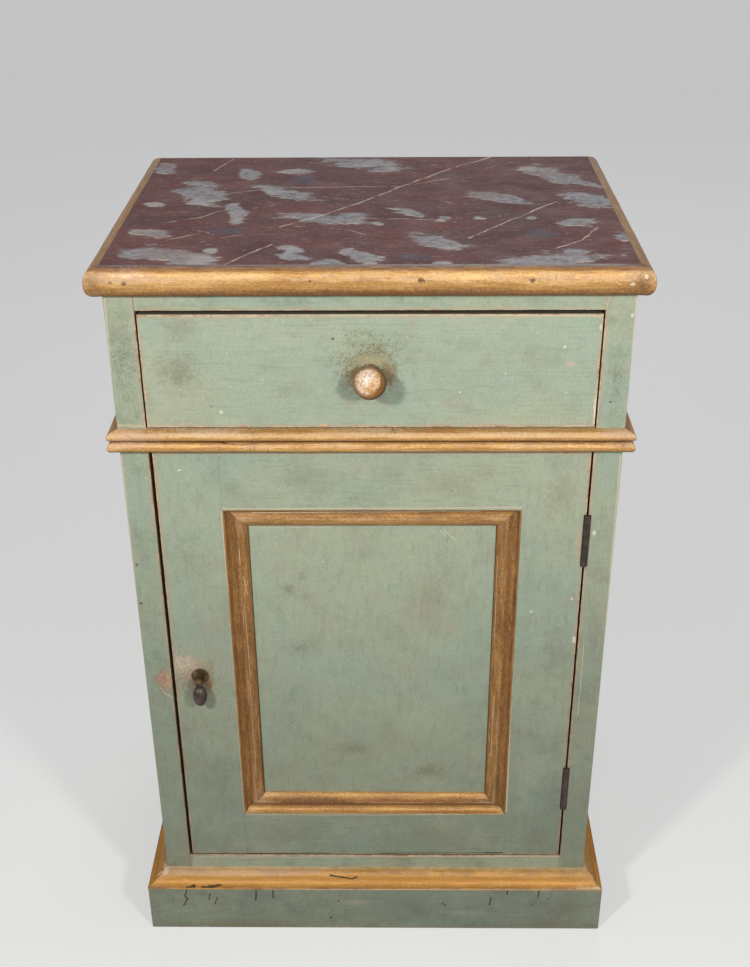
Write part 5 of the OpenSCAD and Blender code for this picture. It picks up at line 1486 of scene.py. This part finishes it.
ground = r.mix(r.band(broad, 0.36, 0.64), seen(88, 55, 54), seen(110, 67, 64))
ground = r.coats(ground,
    (r.band(drag, 0.30, 0.52, 0.60, 0.0), (70, 50, 52)),
    (r.band(drag, 0.54, 0.74, 0.0, 0.50), (122, 92, 86)),
    (r.band(drag_fine, 0.56, 0.70, 0.0, 0.45), (140, 116, 108)),
    (r.band(drag_fine, 0.30, 0.44, 0.45, 0.0), (60, 44, 46)))
tear = (drag - 0.5) * 2.2


def on_top_board(r, left, top, right_px, bottom):
    """A soft patch on the top, in a box of pixels."""
    near, far = on_level(left, bottom, top_z), on_level(right_px, top, top_z)
    at = ((near[0] + far[0]) / 2, (near[1] + far[1]) / 2, top_z)
    return patch(r, place, at, (abs(far[0] - near[0]) / 2, abs(far[1] - near[1]) / 2, 1.0), tear,
                 0.7)


blue = strongest(r, (on_top_board(r, *box) for box in BLUE_PATCHES.values()))
ground = r.mix(blue * 0.7, ground, seen(84, 84, 94))
field = r.use(cloud_group, {"Place": place})["Field"]
nearer = r.use(cloud_group, {"Place": place + (0, -0.0035, 0)})["Field"]
cloud = r.band(field, 0.72, 1.02, 1.0, 0.0)
veil = r.band(field, 0.95, 1.35, 0.30, 0.0)
rim = cloud * r.band(nearer, 0.92, 1.1)
mottle = r.noise(place * (150, 200, 60), 1.0, 7, 0.82)
grey = r.mix(r.band(mottle, 0.36, 0.60), seen(116, 114, 120), seen(164, 162, 164))
grey = r.coats(grey,
    (r.band(drag_fine, 0.52, 0.68, 0.0, 0.5), (186, 176, 164)),
    (r.band(broad, 0.48, 0.62, 0.0, 0.45), (146, 122, 114)),
    (r.band(r.noise(place, 13, 2, 0.5, 0.6), 0.50, 0.62, 0.0, 0.55), (190, 186, 182)))
colour = r.mix(veil * r.band(drag, 0.42, 0.62), ground, seen(146, 132, 130))
colour = r.mix(cloud * r.band(mottle, 0.3, 0.5, 0.55, 1.0), colour, grey)
dabs = rim * r.band(r.noise(place * (60, 160, 60), 1.0, 4, 0.65), 0.42, 0.56)
colour = r.mix(dabs * 0.85, colour, seen(216, 198, 174))
bend = r.noise(place, 130, 3, 0.6, out=1) - (0.5, 0.5, 0.5)
sway = r.noise(place, 34, 2, 0.5, out=1) - (0.5, 0.5, 0.5)
crisp = place + (r.scaled(bend, 0.0026) + r.scaled(sway, 0.006))
strokes = [(half * MM, on_level(*a, top_z), on_level(*b, top_z))
           for half, *path in VEINS.values() for a, b in zip(path, path[1:])]
vein = strongest(r, (line(r, crisp, a, b, half * 1.6, 0.8) for half, a, b in strokes))
strength = r.band(r.noise(place, 70, 3), 0.32, 0.50, 0.45, 1.0)
colour = r.mix(vein * strength, colour, seen(216, 202, 184))
flecks = r.band(r.noise(place * (150, 520, 200), 1.0, 5, 0.75), 0.6, 0.65)
colour = r.mix(flecks * 0.7, colour, seen(186, 170, 156))
worn = r.band(r.noise(place, 300, 4, 0.7), 0.60, 0.72)
colour = r.mix(worn * 0.4, colour, seen(62, 46, 46))
on_top = r.band(z, top_z - 1.5 * MM, top_z - 0.8 * MM)
wood = r.use(pine_group, {"Place": place, "Stretch": ALONG_X, "Seed": 17.0})
colour = r.mix(on_top, wood["Colour"], colour)
rough = r.band(r.noise(place, 34, 4, 0.6), 0.3, 0.7, 0.52, 0.66)
height = drag_fine * 0.08 + cloud * 0.05
dress("top_board", end_finish(r, colour, rough, height, specular=0.12))
print("marbled top:", len(CLOUDS), "clouds,", len(strokes), "vein strokes")

# %% [markdown]
# ## Bare pine inside and behind
# Every unpainted board gets the pine group with its grain along its longest side, read from
# its own box.

# %% Pine boards
bare = ["runner_left", "runner_right", "dust_panel", "top_rail_back", "kicker_left",
        "kicker_right", "back_board_left", "back_board_middle", "back_board_right", "plinth_blocks",
        "drawer_stops", "door_stop", "drawer_side_left", "drawer_side_right", "drawer_back",
        "drawer_bottom"]
for k, node in enumerate(bare):
    low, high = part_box(node)
    longest = int(np.argmax(np.array(high) - np.array(low)))
    r = start_finish(f"pine_{node}")
    made = r.use(pine_group, {"Place": object_place(r),
                              "Stretch": (ALONG_X, ALONG_Y, ALONG_Z)[longest],
                              "Seed": 20.0 + 1.7 * k})
    dress(node, end_finish(r, made["Colour"], made["Roughness"], made["Height"]), 0.4 * MM)
print("pine boards:", len(bare))

# %% [markdown]
# ## Iron and brass
# The hinges are rusted iron with a purple-brown skin. The drop handle is brass that has gone
# nearly black, except where fingers rub it.

# %% Metals
def old_metal(name, dark, rust, bright, metal, seed):
    r = start_finish(name)
    place = object_place(r) + (seed, seed * 0.7, seed * 1.3)
    bloom = r.noise(place, 420, 5, 0.7)
    broad = r.noise(place, 120, 3, 0.6)
    colour = r.mix(r.band(broad, 0.38, 0.66), dark, rust)
    shine = r.band(bloom, 0.56, 0.74)
    colour = r.mix(shine * 0.6, colour, bright)
    rough = r.band(bloom, 0.3, 0.75, 0.54, 0.32)
    return end_finish(r, colour, rough, bloom * 0.1, r.band(bloom, 0.3, 0.8, metal, metal + 0.3))


iron = old_metal("rusty_iron", seen(52, 43, 41), seen(84, 62, 52), seen(122, 108, 98), 0.2, 0.2)
brass = old_metal("tarnished_brass", seen(66, 52, 36), seen(116, 90, 56), seen(206, 180, 140),
                  0.55, 0.5)
pear = old_metal("dark_brass", seen(62, 52, 50), seen(88, 74, 68), seen(150, 136, 126), 0.4, 0.9)
for node in ("hinge_case_leaf_upper", "hinge_case_leaf_lower", "hinge_pins", "case_screws",
             "hinge_door_leaf_upper", "hinge_door_leaf_lower", "door_screws", "latch_tongue"):
    dress(node, iron)
for node in ("handle_rose", "latch_spindle", "latch_nut", "drop_pin"):
    dress(node, brass)
dress("pear_drop", pear)
print("metals ready")

# %% [markdown]
# ## Floor and light
# A plain pale floor takes the shadow. The knob's two crossing shadows in the photograph say
# that two lamps stood in front, one up to the left and one nearer on the right. A disk of P
# watts gives `P cos(a) / (pi^2 d^2)` of white at d metres, so the nearer lamp needs fewer watts
# to light the front as much as the other. A dim even sky brings paint about to the colour it
# was mixed. A wide lamp high behind lights the back and the top, but not the front. The floor
# and the sky look paler to the camera than to the cupboard, so they don't fill its shadows.

# %% Stage
def looked_at(r):
    """1 for rays that look at a surface, 0 for those that gather its light."""
    rays = r.outputs(r.tree.nodes.new("ShaderNodeLightPath"))
    return r.math("ADD", rays["Is Camera Ray"] + rays["Is Glossy Ray"],
                  rays["Is Transmission Ray"], True)


FLOOR_HALF, FLOOR_ROUGH = 30, 0.85
floor_corners = [(x * FLOOR_HALF, y * FLOOR_HALF, 0) for x,
                 y in ((-1, -1), (1, -1), (1, 1), (-1, 1))]
floor_mesh = bpy.data.meshes.new("floor")
floor_mesh.from_pydata(floor_corners, [], [(0, 1, 2, 3)])
floor = bpy.data.objects.new("floor", floor_mesh)
bpy.context.scene.collection.objects.link(floor)
floor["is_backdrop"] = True
r = start_finish("pale_floor")
shown = looked_at(r)
tone = r.mix(r.noise(object_place(r), 3, 3, 0.5), (0.56, 0.56, 0.55, 1), (0.60, 0.60, 0.59, 1))
r.plug(r.mix(shown, (0, 0, 0, 1), (0.36, 0.36, 0.36, 1)), r.shader.inputs["Emission Color"])
r.shader.inputs["Emission Strength"].default_value = 1.0
floor_mesh.materials.append(end_finish(r, r.mix(shown, (0.30, 0.30, 0.30, 1), tone), FLOOR_ROUGH))


def lamp(name, place, target, size, power, tint):
    data = bpy.data.lights.new(name, "AREA")
    data.shape, data.size, data.energy, data.color = "DISK", size, power, tint
    holder = bpy.data.objects.new(name, data)
    bpy.context.scene.collection.objects.link(holder)
    away = np.array(place, float) - np.array(target, float)
    away /= np.linalg.norm(away)
    side = np.cross((0, 0, 1), away)
    side /= np.linalg.norm(side)
    turn = np.eye(4)
    turn[:3, 0], turn[:3, 1], turn[:3, 2], turn[:3, 3] = side, np.cross(away, side), away, place
    holder.matrix_world = Matrix(turn.tolist())
    holder.visible_camera = False


WARM, COOL = (1.0, 0.985, 0.96), (0.97, 0.98, 1.0)
LAMPS = {  # place, target, width of the disk in metres, watts, tint
    "lamp_left": ((-0.626, face_y - 0.921, 1.238), (0, 0, 0.5), 0.15, 8.8, WARM),
    "lamp_right": ((0.519, face_y - 0.865, 1.073), (0, 0, 0.5), 0.15, 6.2, WARM),
    "lamp_behind": ((0.3, back_y + 1.5, 2.1), (0, 0, 0.3), 1.2, 7.5, COOL),
}
for name, row in LAMPS.items():
    lamp(name, *row)
world = bpy.data.worlds.new("studio")
bpy.context.scene.world = world
world.use_nodes = True
w = Recipe(world.node_tree)
back = world.node_tree.nodes["Background"]
w.plug(w.mix(looked_at(w), (0.24, 0.24, 0.25, 1), (0.84, 0.85, 0.86, 1)), back.inputs[0])
back.inputs[1].default_value = 1.0
bpy.context.scene.view_settings.view_transform = "Standard"

# %% The size of what is drawn
low, high = (list(corner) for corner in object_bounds())
print("visual box", low, high)
